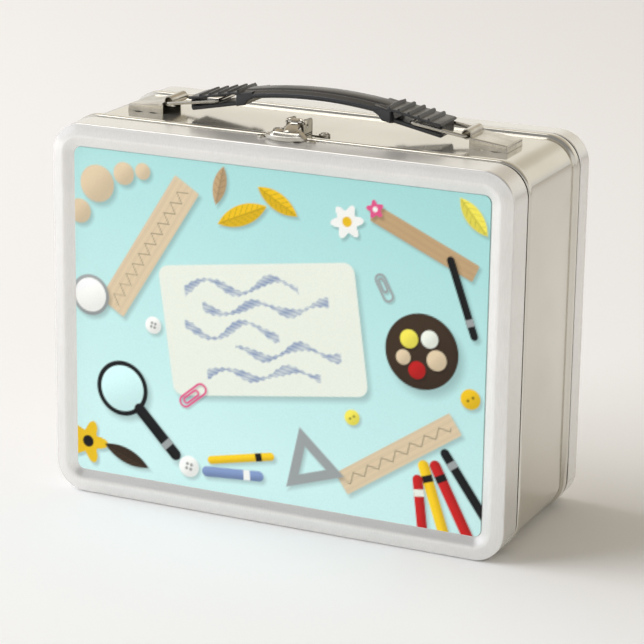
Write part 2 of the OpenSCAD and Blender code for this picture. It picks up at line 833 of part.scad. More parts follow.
module strike_plate() {
    color(NICKEL) difference() {
        at_latch() {
            translate([0, 0, case_h]) linear_extrude(strike_t) {
                translate([-pad_w * 0.28, strike_front]) square([pad_w * 0.56, strike_d]);
                translate([-lobe_x, strike_front + strike_d - 2 * lobe_r]) square([2 * lobe_x, 2 * lobe_r]);
                for (s = [-1, 1])
                    translate([s * lobe_x, strike_front + strike_d - lobe_r]) circle(lobe_r);
            }
            translate([0, strike_front + strike_d / 2, case_h + strike_t - eps])
                cylinder(r1 = 2.2, r2 = 1.2, h = detent_h + eps);
        }
        for (s = [-1, 1]) at_strike_rivet(s)
            cylinder(d = rivet_d + 2 * rivet_fit, h = 6 * strike_t, center = true);
    }
}

module strike_rivets() {
    color(NICKEL) for (s = [-1, 1]) at_strike_rivet(s) {
        translate([0, 0, -sheet / 2]) cylinder(d = rivet_d, h = sheet + strike_t);
        translate([0, 0, sheet / 2 + strike_t]) cylinder(d = rivet_head_d, h = rivet_head_h);
        translate([0, 0, -sheet / 2 - rivet_head_h]) cylinder(d = rivet_head_d, h = rivet_head_h);
    }
}

body_band();
back_cover();
front_cover();
front_print();
body_hinge_leaf(-1);  // body_hinge_leaf_left
body_hinge_leaf(1);  // body_hinge_leaf_right
cover_hinge_leaf(-1);  // cover_hinge_leaf_left
cover_hinge_leaf(1);  // cover_hinge_leaf_right
hinge_pin(-1);  // hinge_pin_left
hinge_pin(1);  // hinge_pin_right
hinge_rivets();
handle_bracket(-1);  // handle_bracket_left
handle_bracket(1);  // handle_bracket_right
handle_link(-1);  // handle_link_left
handle_link(1);  // handle_link_right
handle_grip();
latch_base_plate();
latch_box();
latch_pin();
latch_lever();
latch_base_rivets();
strike_plate();
strike_rivets();
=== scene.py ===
"""Looks of a tin lunch box: bare tin case, printed front, ribbed grip on wire links and a lift latch.

Lengths in this file are millimetres in the CAD part's frame (+X right, +Y back, +Z up), and a mesh is
turned into metres when it is made. A depth is counted back from the plane of the front cover's edge.
"""

from __future__ import annotations

import logging
import math
from dataclasses import dataclass, field
from enum import Enum
from typing import Sequence

import bmesh
import bpy
import numpy as np
from mathutils import Matrix, Vector

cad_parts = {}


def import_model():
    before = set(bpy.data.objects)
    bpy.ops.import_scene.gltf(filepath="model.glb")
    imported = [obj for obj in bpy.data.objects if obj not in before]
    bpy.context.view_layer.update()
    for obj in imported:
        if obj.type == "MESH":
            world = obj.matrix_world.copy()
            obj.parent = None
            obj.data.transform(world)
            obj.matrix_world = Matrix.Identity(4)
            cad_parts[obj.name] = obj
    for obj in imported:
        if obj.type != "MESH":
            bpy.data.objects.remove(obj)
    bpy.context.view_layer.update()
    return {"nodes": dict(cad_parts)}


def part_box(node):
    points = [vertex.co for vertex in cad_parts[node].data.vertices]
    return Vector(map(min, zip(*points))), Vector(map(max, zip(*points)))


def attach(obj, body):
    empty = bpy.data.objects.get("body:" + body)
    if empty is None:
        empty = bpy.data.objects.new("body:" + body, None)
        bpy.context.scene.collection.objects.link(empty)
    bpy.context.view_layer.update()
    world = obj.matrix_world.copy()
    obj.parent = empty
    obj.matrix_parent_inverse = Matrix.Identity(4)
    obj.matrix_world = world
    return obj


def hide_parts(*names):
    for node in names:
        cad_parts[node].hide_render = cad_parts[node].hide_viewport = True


LOG = logging.getLogger("lunch_box")
MM = 0.001
BEVEL_SHARE = 0.2  # a sheet's bevel over its thickness
BEVEL_STEPS = 2
ROUND_EDGE = 60.0  # degrees below which an edge of pressed or moulded sheet is smooth
PLATED_EDGE = 40.0  # the same for small plated pieces
FINE_WELD = 0.0005  # millimetres
SHADOW_BLUR = 1.6  # millimetres for a mark with a lift of 1
SHADOW_DEPTH = 0.34
SENSOR = 36.0  # millimetres
FLOOR_HALF = 14.0  # metres
FLOOR_LINES = 15
Array = np.ndarray


# ---- Meshes ---------------------------------------------------------------


class Slot(Enum):
    """The record's material slots."""

    TIN = "tinplate"
    NICKEL = "nickel_plate"
    PLASTIC = "grip_plastic"
    PRINT = "printed_face"


@dataclass(frozen=True)
class Shell:
    """Points and faces of a surface. Faces are stored as one run of corners and the length of each face."""

    points: Array
    corners: Array
    lengths: Array

    def flipped(self) -> Shell:
        """The same surface with every face turned over."""
        starts = np.concatenate([[0], np.cumsum(self.lengths)[:-1]])
        ends = starts + self.lengths - 1
        place = np.arange(len(self.corners))
        owner = np.repeat(np.arange(len(self.lengths)), self.lengths)
        return Shell(self.points, self.corners[starts[owner] + ends[owner] - place], self.lengths)

    def moved(self, x: float = 0.0, y: float = 0.0, z: float = 0.0) -> Shell:
        """The same surface somewhere else."""
        return Shell(self.points + np.array([x, y, z]), self.corners, self.lengths)

    def mirrored_x(self) -> Shell:
        """The surface on the other side of x = 0, still facing the same way round."""
        return Shell(self.points * np.array([-1.0, 1.0, 1.0]), self.corners, self.lengths).flipped()


def joined(shells: Sequence[Shell]) -> Shell:
    """Several shells as one, with no merging.

    Args:
        shells: The surfaces to put in one mesh.

    Returns:
        One shell that holds them all.
    """
    offsets = np.cumsum([0] + [len(s.points) for s in shells[:-1]])
    return Shell(
        np.concatenate([s.points for s in shells]),
        np.concatenate([s.corners + o for s, o in zip(shells, offsets)]),
        np.concatenate([s.lengths for s in shells]),
    )


def grid(points: Array, wrap_u: bool = False, wrap_v: bool = False, keep: Array | None = None,
         caps: bool = False) -> Shell:
    """A surface through a grid of points: face (i, j) joins points (i, j), (i+1, j), (i+1, j+1), (i, j+1).

    Args:
        points: Array (nu, nv, 3).
        wrap_u: Whether the last row joins the first.
        wrap_v: Whether the last column joins the first.
        keep: Boolean mask of the faces that stay.
        caps: Whether the first and last rows are closed with one face each.

    Returns:
        The shell.
    """
    nu, nv = points.shape[:2]
    index = np.arange(nu * nv).reshape(nu, nv)
    iu = np.arange(nu if wrap_u else nu - 1)
    iv = np.arange(nv if wrap_v else nv - 1)
    a, b = np.meshgrid(iu, iv, indexing="ij")
    a2, b2 = (a + 1) % nu, (b + 1) % nv
    quads = np.stack([index[a, b], index[a2, b], index[a2, b2], index[a, b2]], axis=-1)
    quads = quads.reshape(-1, 4) if keep is None else quads[keep]
    corners = quads.reshape(-1)
    lengths = np.full(len(quads), 4)
    if caps:
        corners = np.concatenate([corners, index[0], index[-1][::-1]])
        lengths = np.concatenate([lengths, [nv, nv]])
    return Shell(points.reshape(-1, 3), corners, lengths)


def capped(body: Shell, face: Array) -> Shell:
    """The same surface with one more face, through the points with these numbers."""
    return Shell(body.points, np.concatenate([body.corners, face]), np.concatenate([body.lengths, [len(face)]]))


def linked(name: str, data: bpy.types.ID) -> bpy.types.Object:
    """A new object in the scene."""
    thing = bpy.data.objects.new(name, data)
    bpy.context.scene.collection.objects.link(thing)
    return thing


def opaque(colour: Sequence[float]) -> tuple[float, ...]:
    """A colour with full alpha."""
    return (*colour, 1.0)


def facing_away(shell: Shell, inside: Sequence[float]) -> Shell:
    """Turns a surface over if most of it faces a point that should be behind it.

    The test is the sum, over all corners' triangles, of the triangle's normal times its distance from the point.

    Args:
        shell: The surface.
        inside: A point on its hidden side.

    Returns:
        The shell, turned over or not.
    """
    starts = np.concatenate([[0], np.cumsum(shell.lengths)[:-1]])
    p = shell.points - np.array(inside)
    a, b, c = (p[shell.corners[starts + k]] for k in range(3))
    return shell if np.einsum("ij,ij->i", np.cross(b - a, c - a), a + b + c).sum() > 0 else shell.flipped()


def frames_along(path: Array, closed: bool) -> tuple[Array, Array]:
    """Two directions across a flat path at each of its points.

    Args:
        path: Array (n, 3) of points in one plane.
        closed: Whether the last point joins the first.

    Returns:
        Unit vectors in the path's plane and across it, each (n, 3).
    """
    if closed:
        ahead = np.roll(path, -1, 0) - np.roll(path, 1, 0)
    else:
        ahead = np.gradient(path, axis=0)
    ahead = ahead / np.linalg.norm(ahead, axis=1, keepdims=True)
    spread = np.linalg.svd(path - path.mean(0))[2]
    across = np.tile(spread[2], (len(path), 1))
    if len(path) < 3 or np.linalg.matrix_rank(path - path.mean(0), tol=1e-6) < 2:
        guess = np.array([0.0, 0.0, 1.0]) if abs(ahead[0, 2]) < 0.9 else np.array([1.0, 0.0, 0.0])
        across = np.cross(ahead, guess)
        across = across / np.linalg.norm(across, axis=1, keepdims=True)
    return np.cross(across, ahead), across


def rod(path: Array, radius: float, closed: bool = False, around: int = 20) -> Shell:
    """A round rod: at each point of the path, a circle of the radius across it.

    Args:
        path: Array (n, 3).
        radius: The rod's radius.
        closed: Whether the rod joins itself.
        around: Points round the circle.

    Returns:
        The shell, closed at its ends.
    """
    side, across = frames_along(path, closed)
    angle = np.linspace(0, 2 * np.pi, around, endpoint=False)
    ring = np.cos(angle)[None, :, None] * side[:, None] + np.sin(angle)[None, :, None] * across[:, None]
    return grid(path[:, None] + radius * ring, wrap_u=closed, wrap_v=True, caps=not closed)


def lathe(radii: Sequence[float], heights: Sequence[float], centre: Sequence[float], around: int = 32) -> Shell:
    """A turned shape: the profile (radius, height) carried round the upright axis through a centre.

    Args:
        radii: Radius at each step.
        heights: Height at each step.
        centre: The point on the axis that heights count from.
        around: Points round the axis.

    Returns:
        The shell, with its ends closed.
    """
    angle = np.linspace(0, 2 * np.pi, around, endpoint=False)
    r, h = np.array(radii, float)[:, None], np.array(heights, float)[:, None]
    points = np.stack([r * np.cos(angle), r * np.sin(angle), h + 0 * angle], axis=-1)
    return grid(points + np.array(centre), wrap_v=True, caps=True)


def plate(outline: Array, z0: float, z1: float) -> Shell:
    """A flat plate: the outline (n, 2) in x and y, between two heights."""
    low = np.column_stack([outline, np.full(len(outline), z0)])
    high = np.column_stack([outline, np.full(len(outline), z1)])
    return grid(np.stack([low, high]), wrap_v=True, caps=True)


def side_strip(profile: Array, y0: float, y1: float) -> Shell:
    """A strip of sheet: the open profile (n, 2) in x and z, carried from y0 to y1 in one step."""
    ends = [np.column_stack([profile[:, 0], np.full(len(profile), y), profile[:, 1]]) for y in (y0, y1)]
    return grid(np.stack(ends, axis=1))


def smooth(t: Array, lo: float, hi: float) -> Array:
    """Rises from 0 at lo to 1 at hi along 3t^2 - 2t^3."""
    s = np.clip((t - lo) / (hi - lo), 0.0, 1.0)
    return s * s * (3.0 - 2.0 * s)


def bump(t: Array, centre: float, half: float) -> Array:
    """A round bump: cosine from 1 at the centre to 0 at half to each side."""
    return np.where(np.abs(t - centre) < half, 0.5 + 0.5 * np.cos(np.pi * (t - centre) / half), 0.0)


def arc(cx: float, cy: float, radius: float, start: float, end: float, steps: int) -> Array:
    """Points (steps, 2) on a circle, between two angles in degrees."""
    a = np.radians(np.linspace(start, end, steps))
    return np.column_stack([cx + radius * np.cos(a), cy + radius * np.sin(a)])


class Finish(Enum):
    """How a mesh is finished by modifiers."""

    SHEET = "sheet"
    SOLID = "solid"
    PLAIN = "plain"


@dataclass(frozen=True)
class Make:
    """How one piece is made into an object.

    Attributes:
        body: The CAD body that the piece rides on.
        slot: The material slot that it belongs to; not used.
        finish: Sheet gets a thickness, solid gets bevelled edges, plain gets neither.
        size: The sheet's thickness or the bevel's width.
        sharp: Edges above this angle in degrees are sharp.
    """

    body: str
    slot: Slot
    finish: Finish = Finish.PLAIN
    size: float = 0.0
    sharp: float = 50.0


def make_piece(name: str, shell: Shell, how: Make, material: bpy.types.Material,
               replaces: Sequence[str] = (), weld: float = 0.0) -> bpy.types.Object:
    """Turns a shell into an object in the frame, with its material and modifiers.

    Args:
        name: The piece's name.
        shell: Its surface in millimetres.
        how: Body, slot and finish.
        material: What it is made of.
        replaces: CAD nodes that it stands for.
        weld: Distance in millimetres below which points are merged, after which normals are worked out again.

    Returns:
        The object.
    """
    mesh = bpy.data.meshes.new(name)
    mesh.vertices.add(len(shell.points))
    mesh.vertices.foreach_set("co", (shell.points * MM).astype(np.float32).ravel())
    mesh.loops.add(len(shell.corners))
    mesh.loops.foreach_set("vertex_index", shell.corners.astype(np.int32))
    mesh.polygons.add(len(shell.lengths))
    starts = np.concatenate([[0], np.cumsum(shell.lengths)[:-1]])
    mesh.polygons.foreach_set("loop_start", starts.astype(np.int32))
    mesh.update(calc_edges=True)
    mesh.validate()
    if weld:
        net = bmesh.new()
        net.from_mesh(mesh)
        bmesh.ops.remove_doubles(net, verts=net.verts, dist=weld * MM)
        bmesh.ops.recalc_face_normals(net, faces=net.faces)
        net.to_mesh(mesh)
        net.free()
    mesh.polygons.foreach_set("use_smooth", np.ones(len(mesh.polygons), bool))
    mesh.set_sharp_from_angle(angle=math.radians(how.sharp))
    mesh.materials.append(material)
    piece = linked(name, mesh)
    if how.finish is Finish.SHEET:
        wall = piece.modifiers.new("sheet", "SOLIDIFY")
        wall.thickness, wall.offset, wall.use_even_offset = how.size * MM, -1.0, True
    if how.finish is not Finish.PLAIN:
        edge = piece.modifiers.new("edges", "BEVEL")
        share = BEVEL_SHARE if how.finish is Finish.SHEET else 1.0
        edge.width, edge.segments, edge.limit_method = share * how.size * MM, BEVEL_STEPS, "ANGLE"
        edge.angle_limit, edge.harden_normals = math.radians(how.sharp - 5.0), True
    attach(piece, how.body)
    if replaces:
        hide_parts(*replaces)
    LOG.info("%s: %d points, rides on %s", name, len(mesh.vertices), how.body)
    return piece


# ---- Shader groups ----------------------------------------------------------


def socket_kind(value: float | Sequence[float]) -> str:
    """The socket type that suits a default value."""
    if isinstance(value, (int, float)):
        return "NodeSocketFloat"
    return "NodeSocketColor" if len(value) == 4 else "NodeSocketVector"


class Net:
    """A node tree under construction, with short ways to add nodes and link them."""

    def __init__(self, tree: bpy.types.NodeTree) -> None:
        """Starts on an empty tree."""
        self.tree = tree

    def add(self, kind: str, inputs: dict | None = None, **settings: object) -> bpy.types.Node:
        """Adds a node.

        Args:
            kind: The node's type.
            inputs: Socket name or number to a value, or to an output socket to link.
            settings: Properties of the node.

        Returns:
            The node.
        """
        node = self.tree.nodes.new(kind)
        for key, value in settings.items():
            setattr(node, key, value)
        for key, value in (inputs or {}).items():
            if isinstance(value, bpy.types.NodeSocket):
                self.tree.links.new(value, node.inputs[key])
            else:
                node.inputs[key].default_value = value
        return node

    def math(self, operation: str, *values: object) -> bpy.types.NodeSocket:
        """A Math node's result."""
        return self.add("ShaderNodeMath", dict(enumerate(values)), operation=operation).outputs[0]

    def remap(self, value: bpy.types.NodeSocket, lo: object, hi: object, out_lo: float = 0.0, out_hi: float = 1.0
              ) -> bpy.types.NodeSocket:
        """A Map Range node's result, clamped and smooth."""
        return self.add("ShaderNodeMapRange", {0: value, 1: lo, 2: hi, 3: out_lo, 4: out_hi},
                        interpolation_type="SMOOTHSTEP").outputs[0]

    def mix(self, factor: object, a: object, b: object, blend: str = "MIX") -> bpy.types.NodeSocket:
        """A colour Mix node's result."""
        node = self.add("ShaderNodeMix", {0: factor, 6: a, 7: b}, data_type="RGBA", blend_type=blend)
        return node.outputs[2]


def new_group(name: str, inputs: dict[str, float | Sequence[float]], outputs: Sequence[str]
              ) -> tuple[Net, bpy.types.Node, bpy.types.Node]:
    """Starts a shader node group.

    Args:
        name: The group's name.
        inputs: Input names and their defaults.
        outputs: Output names, all plain values.

    Returns:
        The net to build in, the group's input node and its output node.
    """
    tree = bpy.data.node_groups.new(name, "ShaderNodeTree")
    for key, default in inputs.items():
        tree.interface.new_socket(key, in_out="INPUT", socket_type=socket_kind(default)).default_value = default
    for key in outputs:
        tree.interface.new_socket(key, in_out="OUTPUT", socket_type="NodeSocketFloat")
    net = Net(tree)
    return net, net.add("NodeGroupInput"), net.add("NodeGroupOutput")


def sheet_grain_group() -> bpy.types.NodeTree:
    """Rolled sheet: fine streaks along one axis, cloudy wear and a few marks.

    Returns:
        A group with Stretch, Scale and Cloud size as inputs and Grain, Cloud and Marks from 0 to 1 as outputs.
    """
    net, start, end = new_group("sheet_grain", {"Stretch": (0.02, 1.0, 1.0), "Scale": 2600.0, "Cloud": 26.0},
                                ("Grain", "Cloud", "Marks"))
    place = net.add("ShaderNodeTexCoord").outputs["Object"]
    long = net.add("ShaderNodeVectorMath", {0: place, 1: start.outputs["Stretch"]}, operation="MULTIPLY")
    grain = net.add("ShaderNodeTexNoise", {"Vector": long.outputs[0], "Scale": start.outputs["Scale"],
                                           "Detail": 3.0, "Roughness": 0.6})
    cloud = net.add("ShaderNodeTexNoise", {"Vector": place, "Scale": start.outputs["Cloud"], "Detail": 4.0,
                                           "Roughness": 0.55, "Distortion": 0.4})
    marks = net.add("ShaderNodeTexNoise", {"Vector": place, "Scale": 420.0, "Detail": 2.0, "Roughness": 0.4})
    few = net.remap(marks.outputs[0], 0.66, 0.74)
    for key, value in (("Grain", grain.outputs[0]), ("Cloud", cloud.outputs[0]), ("Marks", few)):
        net.tree.links.new(value, end.inputs[key])
    return net.tree


def moulded_group() -> bpy.types.NodeTree:
    """Moulded plastic: fine stipple, broad gloss changes and pale scuffs.

    Returns:
        A group with Scale as input and Stipple, Gloss and Scuff from 0 to 1 as outputs.
    """
    net, start, end = new_group("moulded", {"Scale": 2200.0}, ("Stipple", "Gloss", "Scuff"))
    place = net.add("ShaderNodeTexCoord").outputs["Object"]
    stipple = net.add("ShaderNodeTexNoise", {"Vector": place, "Scale": start.outputs["Scale"], "Detail": 2.0})
    gloss = net.add("ShaderNodeTexNoise", {"Vector": place, "Scale": 60.0, "Detail": 3.0})
    scuff = net.add("ShaderNodeTexNoise", {"Vector": place, "Scale": 330.0, "Detail": 5.0, "Roughness": 0.7})
    for key, value in (("Stipple", stipple.outputs[0]), ("Gloss", gloss.outputs[0]),
                       ("Scuff", net.remap(scuff.outputs[0], 0.6, 0.78))):
        net.tree.links.new(value, end.inputs[key])
    return net.tree


# ---- Finishes ---------------------------------------------------------------


@dataclass(frozen=True)
class MetalFinish:
    """A bare or plated metal sheet.

    Attributes:
        name: The material's name.
        colour: Its linear colour.
        dull: The colour of its duller clouds.
        rough: Roughness from its brightest to its dullest places.
        stretch: How the grain is squeezed along each axis; a small value makes long streaks.
        grain: Depth of the grain, in micrometres.
        cloud: How many clouds there are along a metre.
        streak: How far the grain darkens the colour.
        metallic: Share of bare metal; the rest is its dull film.
    """

    name: str
    colour: tuple[float, float, float]
    dull: tuple[float, float, float]
    rough: tuple[float, float]
    stretch: tuple[float, float, float] = (0.03, 1.0, 1.0)
    grain: float = 1.2
    cloud: float = 26.0
    streak: float = 0.1
    metallic: float = 1.0

    def build(self) -> bpy.types.Material:
        """Makes the material: colour and roughness follow the clouds, and the grain is a slight bump."""
        material, net, shader = principled(self.name)
        group = net.add("ShaderNodeGroup", node_tree=bpy.data.node_groups["sheet_grain"])
        group.inputs["Stretch"].default_value = self.stretch
        group.inputs["Cloud"].default_value = self.cloud
        cloud, grain, marks = (group.outputs[k] for k in ("Cloud", "Grain", "Marks"))
        patch = net.remap(cloud, 0.3, 0.7)
        tone = net.mix(patch, opaque(self.colour), opaque(self.dull))
        tone = net.mix(net.math("MULTIPLY", net.remap(grain, 0.35, 0.65), self.streak), tone,
                       (*(0.8 * c for c in self.dull), 1.0))
        tone = net.mix(net.math("MULTIPLY", marks, 0.06), tone, (0.45, 0.43, 0.40, 1.0))
        link(net, tone, shader, "Base Color")
        rough = net.math("MULTIPLY_ADD", grain, 0.05, net.remap(cloud, 0.3, 0.7, *self.rough))
        link(net, rough, shader, "Roughness")
        shader.inputs["Metallic"].default_value = self.metallic
        height = net.add("ShaderNodeBump", {"Height": grain, "Strength": 0.6, "Distance": self.grain * 1e-6})
        link(net, height.outputs[0], shader, "Normal")
        return material


@dataclass(frozen=True)
class PlasticFinish:
    """Dark moulded plastic with scuffs."""

    name: str = "grip_plastic"
    colour: tuple[float, float, float] = (0.030, 0.031, 0.034)
    scuffed: tuple[float, float, float] = (0.11, 0.11, 0.108)
    rough: tuple[float, float] = (0.20, 0.34)

    def build(self) -> bpy.types.Material:
        """Makes the material: scuffs lighten the colour, and a stipple roughens the surface."""
        material, net, shader = principled(self.name)
        group = net.add("ShaderNodeGroup", node_tree=bpy.data.node_groups["moulded"])
        tone = net.mix(net.math("MULTIPLY", group.outputs["Scuff"], 0.6), opaque(self.colour), opaque(self.scuffed))
        link(net, tone, shader, "Base Color")
        link(net, net.remap(group.outputs["Gloss"], 0.3, 0.7, *self.rough), shader, "Roughness")
        height = net.add("ShaderNodeBump", {"Height": group.outputs["Stipple"], "Strength": 0.5, "Distance": 2.5e-5})
        link(net, height.outputs[0], shader, "Normal")
        return material


@dataclass(frozen=True)
class PrintFinish:
    """Matt ink on sheet: the painted attribute and a fine ink grain."""

    name: str = "printed_face"
    attribute: str = "ink"

    def build(self) -> bpy.types.Material:
        """Makes the material: the ink attribute times a slight grain."""
        material, net, shader = principled(self.name)
        ink = net.add("ShaderNodeAttribute", attribute_name=self.attribute).outputs["Color"]
        place = net.add("ShaderNodeTexCoord").outputs["Object"]
        dots = net.add("ShaderNodeTexNoise", {"Vector": place, "Scale": 1500.0, "Detail": 2.0}).outputs[0]
        grain = net.remap(dots, 0.3, 0.7, 0.97, 1.0)
        link(net, net.mix(1.0, ink, grain, "MULTIPLY"), shader, "Base Color")
        link(net, net.remap(dots, 0.3, 0.7, 0.5, 0.6), shader, "Roughness")
        shader.inputs["Specular IOR Level"].default_value = 0.2
        return material


@dataclass(frozen=True)
class FloorFinish:
    """Pale plain floor: nearly white near the object, with painted shade that makes it darker and warmer far behind it.
    """

    name: str = "studio_floor"
    near: tuple[float, float, float] = (0.90, 0.895, 0.885)
    # far_shaded is painted shade: the floor's darker, warmer tone far behind the object.
    far_shaded: tuple[float, float, float] = (0.87, 0.85, 0.83)

    def build(self) -> bpy.types.Material:
        """Makes the material: one colour turns into the other with the distance behind the object, which paints the
        shade far behind it.
        """
        material, net, shader = principled(self.name)
        place = net.add("ShaderNodeTexCoord").outputs["Object"]
        back = net.add("ShaderNodeSeparateXYZ", {0: place}).outputs[1]
        link(net, net.mix(net.remap(back, -0.3, 1.2), opaque(self.near), opaque(self.far_shaded)),
             shader, "Base Color")
        shader.inputs["Roughness"].default_value = 0.9
        shader.inputs["Specular IOR Level"].default_value = 0.1
        return material


def principled(name: str) -> tuple[bpy.types.Material, Net, bpy.types.Node]:
    """A new node material.

    Args:
        name: Its name.

    Returns:
        The material, its net and its Principled BSDF.
    """
    material = bpy.data.materials.new(name)
    material.use_nodes = True
    return material, Net(material.node_tree), material.node_tree.nodes["Principled BSDF"]


def link(net: Net, source: bpy.types.NodeSocket, shader: bpy.types.Node, key: str) -> None:
    """Links an output to one of the shader's inputs."""
    net.tree.links.new(source, shader.inputs[key])


# ---- The printed design -------------------------------------------------------


class Ink(Enum):
    """The print's colours, as sRGB values from 0 to 1."""

    TURQUOISE = (0.82, 0.96, 0.95)
    DEEP = (0.67, 0.88, 0.87)
    CREAM = (0.93, 0.95, 0.90)
    WHITE = (0.97, 0.97, 0.95)
    WOOD = (0.87, 0.79, 0.66)
    OAK = (0.76, 0.64, 0.48)
    YELLOW = (0.93, 0.76, 0.13)
    LEMON = (0.95, 0.90, 0.35)
    RED = (0.74, 0.12, 0.12)
    PINK = (0.90, 0.35, 0.55)
    SLATE = (0.48, 0.56, 0.72)
    GREY = (0.62, 0.64, 0.64)
    BROWN = (0.24, 0.18, 0.13)
    BLACK = (0.08, 0.08, 0.09)

    def linear(self) -> Array:
        """The colour in linear light, by the sRGB curve."""
        c = np.array(self.value)
        return np.where(c <= 0.04045, c / 12.92, ((c + 0.055) / 1.055) ** 2.4)


@dataclass
class Canvas:
    """Linear colour at each point of the printed face, painted from back to front.

    Attributes:
        x: Distance of each point to the right of the middle.
        z: Distance of each point above the middle.
        colour: Array (n, 3).
    """

    x: Array
    z: Array
    colour: Array = field(init=False)
    edge: float = 0.35
    throw: tuple[float, float] = (1.3, -1.5)

    def __post_init__(self) -> None:
        """Starts with the turquoise ground, a little deeper towards the top and the right."""
        depth = np.clip(0.42 + self.x / 600.0 + self.z / 150.0, 0.0, 1.0)[:, None]
        self.colour = Ink.TURQUOISE.linear() * (1.0 - depth) + Ink.DEEP.linear() * depth

    def local(self, x: float, z: float, turn: float) -> tuple[Array, Array]:
        """Points in the frame of a mark that is centred at (x, z) and turned by an angle in degrees."""
        c, s = math.cos(math.radians(turn)), math.sin(math.radians(turn))
        dx, dz = self.x - x, self.z - z
        return c * dx + s * dz, -s * dx + c * dz

    def lay(self, distance: Array, ink: Array, strength: float = 1.0) -> None:
        """Paints where the distance is below 0, with a soft edge."""
        cover = strength * (1.0 - smooth(distance, -self.edge, self.edge))
        self.colour += cover[:, None] * (ink - self.colour)

    def shade(self, distance: Array, blur: float, strength: float) -> None:
        """Darkens softly where the distance, taken at the shadow's place, is below its blur."""
        self.colour *= 1.0 - strength * (1.0 - smooth(distance, -blur, blur))[:, None]


def box_distance(u: Array, v: Array, half_u: float, half_v: float, corner: float) -> Array:
    """Signed distance to a rectangle with round corners, centred on (0, 0)."""
    qu, qv = np.abs(u) - half_u + corner, np.abs(v) - half_v + corner
    return np.hypot(np.maximum(qu, 0), np.maximum(qv, 0)) + np.minimum(np.maximum(qu, qv), 0) - corner


@dataclass(frozen=True)
class Mark:
    """Something that lies on the print's ground and throws a soft shadow.

    Attributes:
        x, z: Its middle.
        turn: Its angle in degrees.
        ink: Its colour.
        lift: How far its shadow reaches.
    """

    x: float
    z: float
    turn: float
    ink: Ink
    lift: float = 1.0

    def distance(self, u: Array, v: Array) -> Array:
        """Signed distance from the mark's outline."""
        raise NotImplementedError

    def tone(self, u: Array, v: Array) -> Array:
        """Brightness across the mark."""
        return np.ones_like(u)

    def paint(self, canvas: Canvas) -> None:
        """Lays the shadow, then the mark, then its details."""
        dx, dz = canvas.throw
        u, v = canvas.local(self.x + self.lift * dx, self.z + self.lift * dz, self.turn)
        canvas.shade(self.distance(u, v), SHADOW_BLUR * self.lift, SHADOW_DEPTH)
        u, v = canvas.local(self.x, self.z, self.turn)
        canvas.lay(self.distance(u, v), self.ink.linear() * self.tone(u, v)[:, None])
        self.details(canvas, u, v)

    def details(self, canvas: Canvas, u: Array, v: Array) -> None:
        """Paints what lies on the mark."""


@dataclass(frozen=True)
class Card(Mark):
    """A pale sheet with brushed waves on it."""

    half_u: float = 48.0
    half_v: float = 30.0

    def distance(self, u: Array, v: Array) -> Array:
        """Distance to a rectangle with small round corners."""
        return box_distance(u, v, self.half_u, self.half_v, 5.0)

    def details(self, canvas: Canvas, u: Array, v: Array) -> None:
        """Five brushed waves: a sine line each, with a width and a strength that change along it."""
        waves = ((-36, 20, 3.2, 0.0), (-28, 34, 2.4, 1.7), (-38, 8, 3.6, 3.1), (-14, 37, 2.8, 4.4), (-30, 26, 2.2, 5.6))
        for row, (start, end, rise, phase) in enumerate(waves):
            middle = 20.0 - 10.0 * row + rise * np.sin(u / 5.2 + phase)
            width = 1.5 + 0.8 * np.sin(u / 3.1 + 2.0 * phase) + 0.3 * np.sin(u * 1.9 + phase)
            ends = np.maximum(start - u, u - end)
            dry = 0.62 + 0.3 * np.sin(u * 0.9 + 1.3 * v + phase) * np.sin(v * 2.3 + u * 0.4)
            inside = np.maximum(np.abs(v - middle) - width, ends)
            canvas.colour += (np.clip(dry, 0.2, 1.0) * (1.0 - smooth(inside, -0.6, 0.4)))[:, None] * (
                Ink.SLATE.linear() - canvas.colour)


@dataclass(frozen=True)
class Strip(Mark):
    """A flat strip with faint grain and, unless its step is 0, a zigzag line."""

    half_u: float = 30.0
    half_v: float = 6.0
    step: float = 3.0

    def distance(self, u: Array, v: Array) -> Array:
        """Distance to a nearly sharp rectangle."""
        return box_distance(u, v, self.half_u, self.half_v, 0.8)

    def tone(self, u: Array, v: Array) -> Array:
        """Faint grain along the strip."""
        return 1.0 + 0.03 * np.sin(v * 2.1 + 0.6 * np.sin(u / 9.0)) + 0.02 * np.sin(v * 5.3)

    def details(self, canvas: Canvas, u: Array, v: Array) -> None:
        """The zigzag line along the middle."""
        if self.step:
            zig = np.abs((u / self.step) % 2.0 - 1.0) * self.half_v * 0.7 - self.half_v * 0.35
            line = np.maximum(np.abs(v - zig) - 0.45, np.abs(u) - self.half_u + 3.0)
            canvas.lay(line, self.ink.linear() * 0.45, 0.8)


@dataclass(frozen=True)
class Rod(Mark):
    """A round stick with a pale end and a band."""

    half: float = 20.0
    radius: float = 2.2
    band: Ink = Ink.CREAM

    def distance(self, u: Array, v: Array) -> Array:
        """Distance to a capsule."""
        return np.hypot(np.maximum(np.abs(u) - self.half, 0.0), v) - self.radius

    def tone(self, u: Array, v: Array) -> Array:
        """Brighter along its upper side."""
        return 0.82 + 0.45 * smooth(v, -self.radius, 0.6 * self.radius)

    def details(self, canvas: Canvas, u: Array, v: Array) -> None:
        """The band near one end."""
        ring = np.maximum(np.abs(u - self.half + 6.0) - 1.6, self.distance(u, v))
        canvas.lay(ring, self.band.linear())


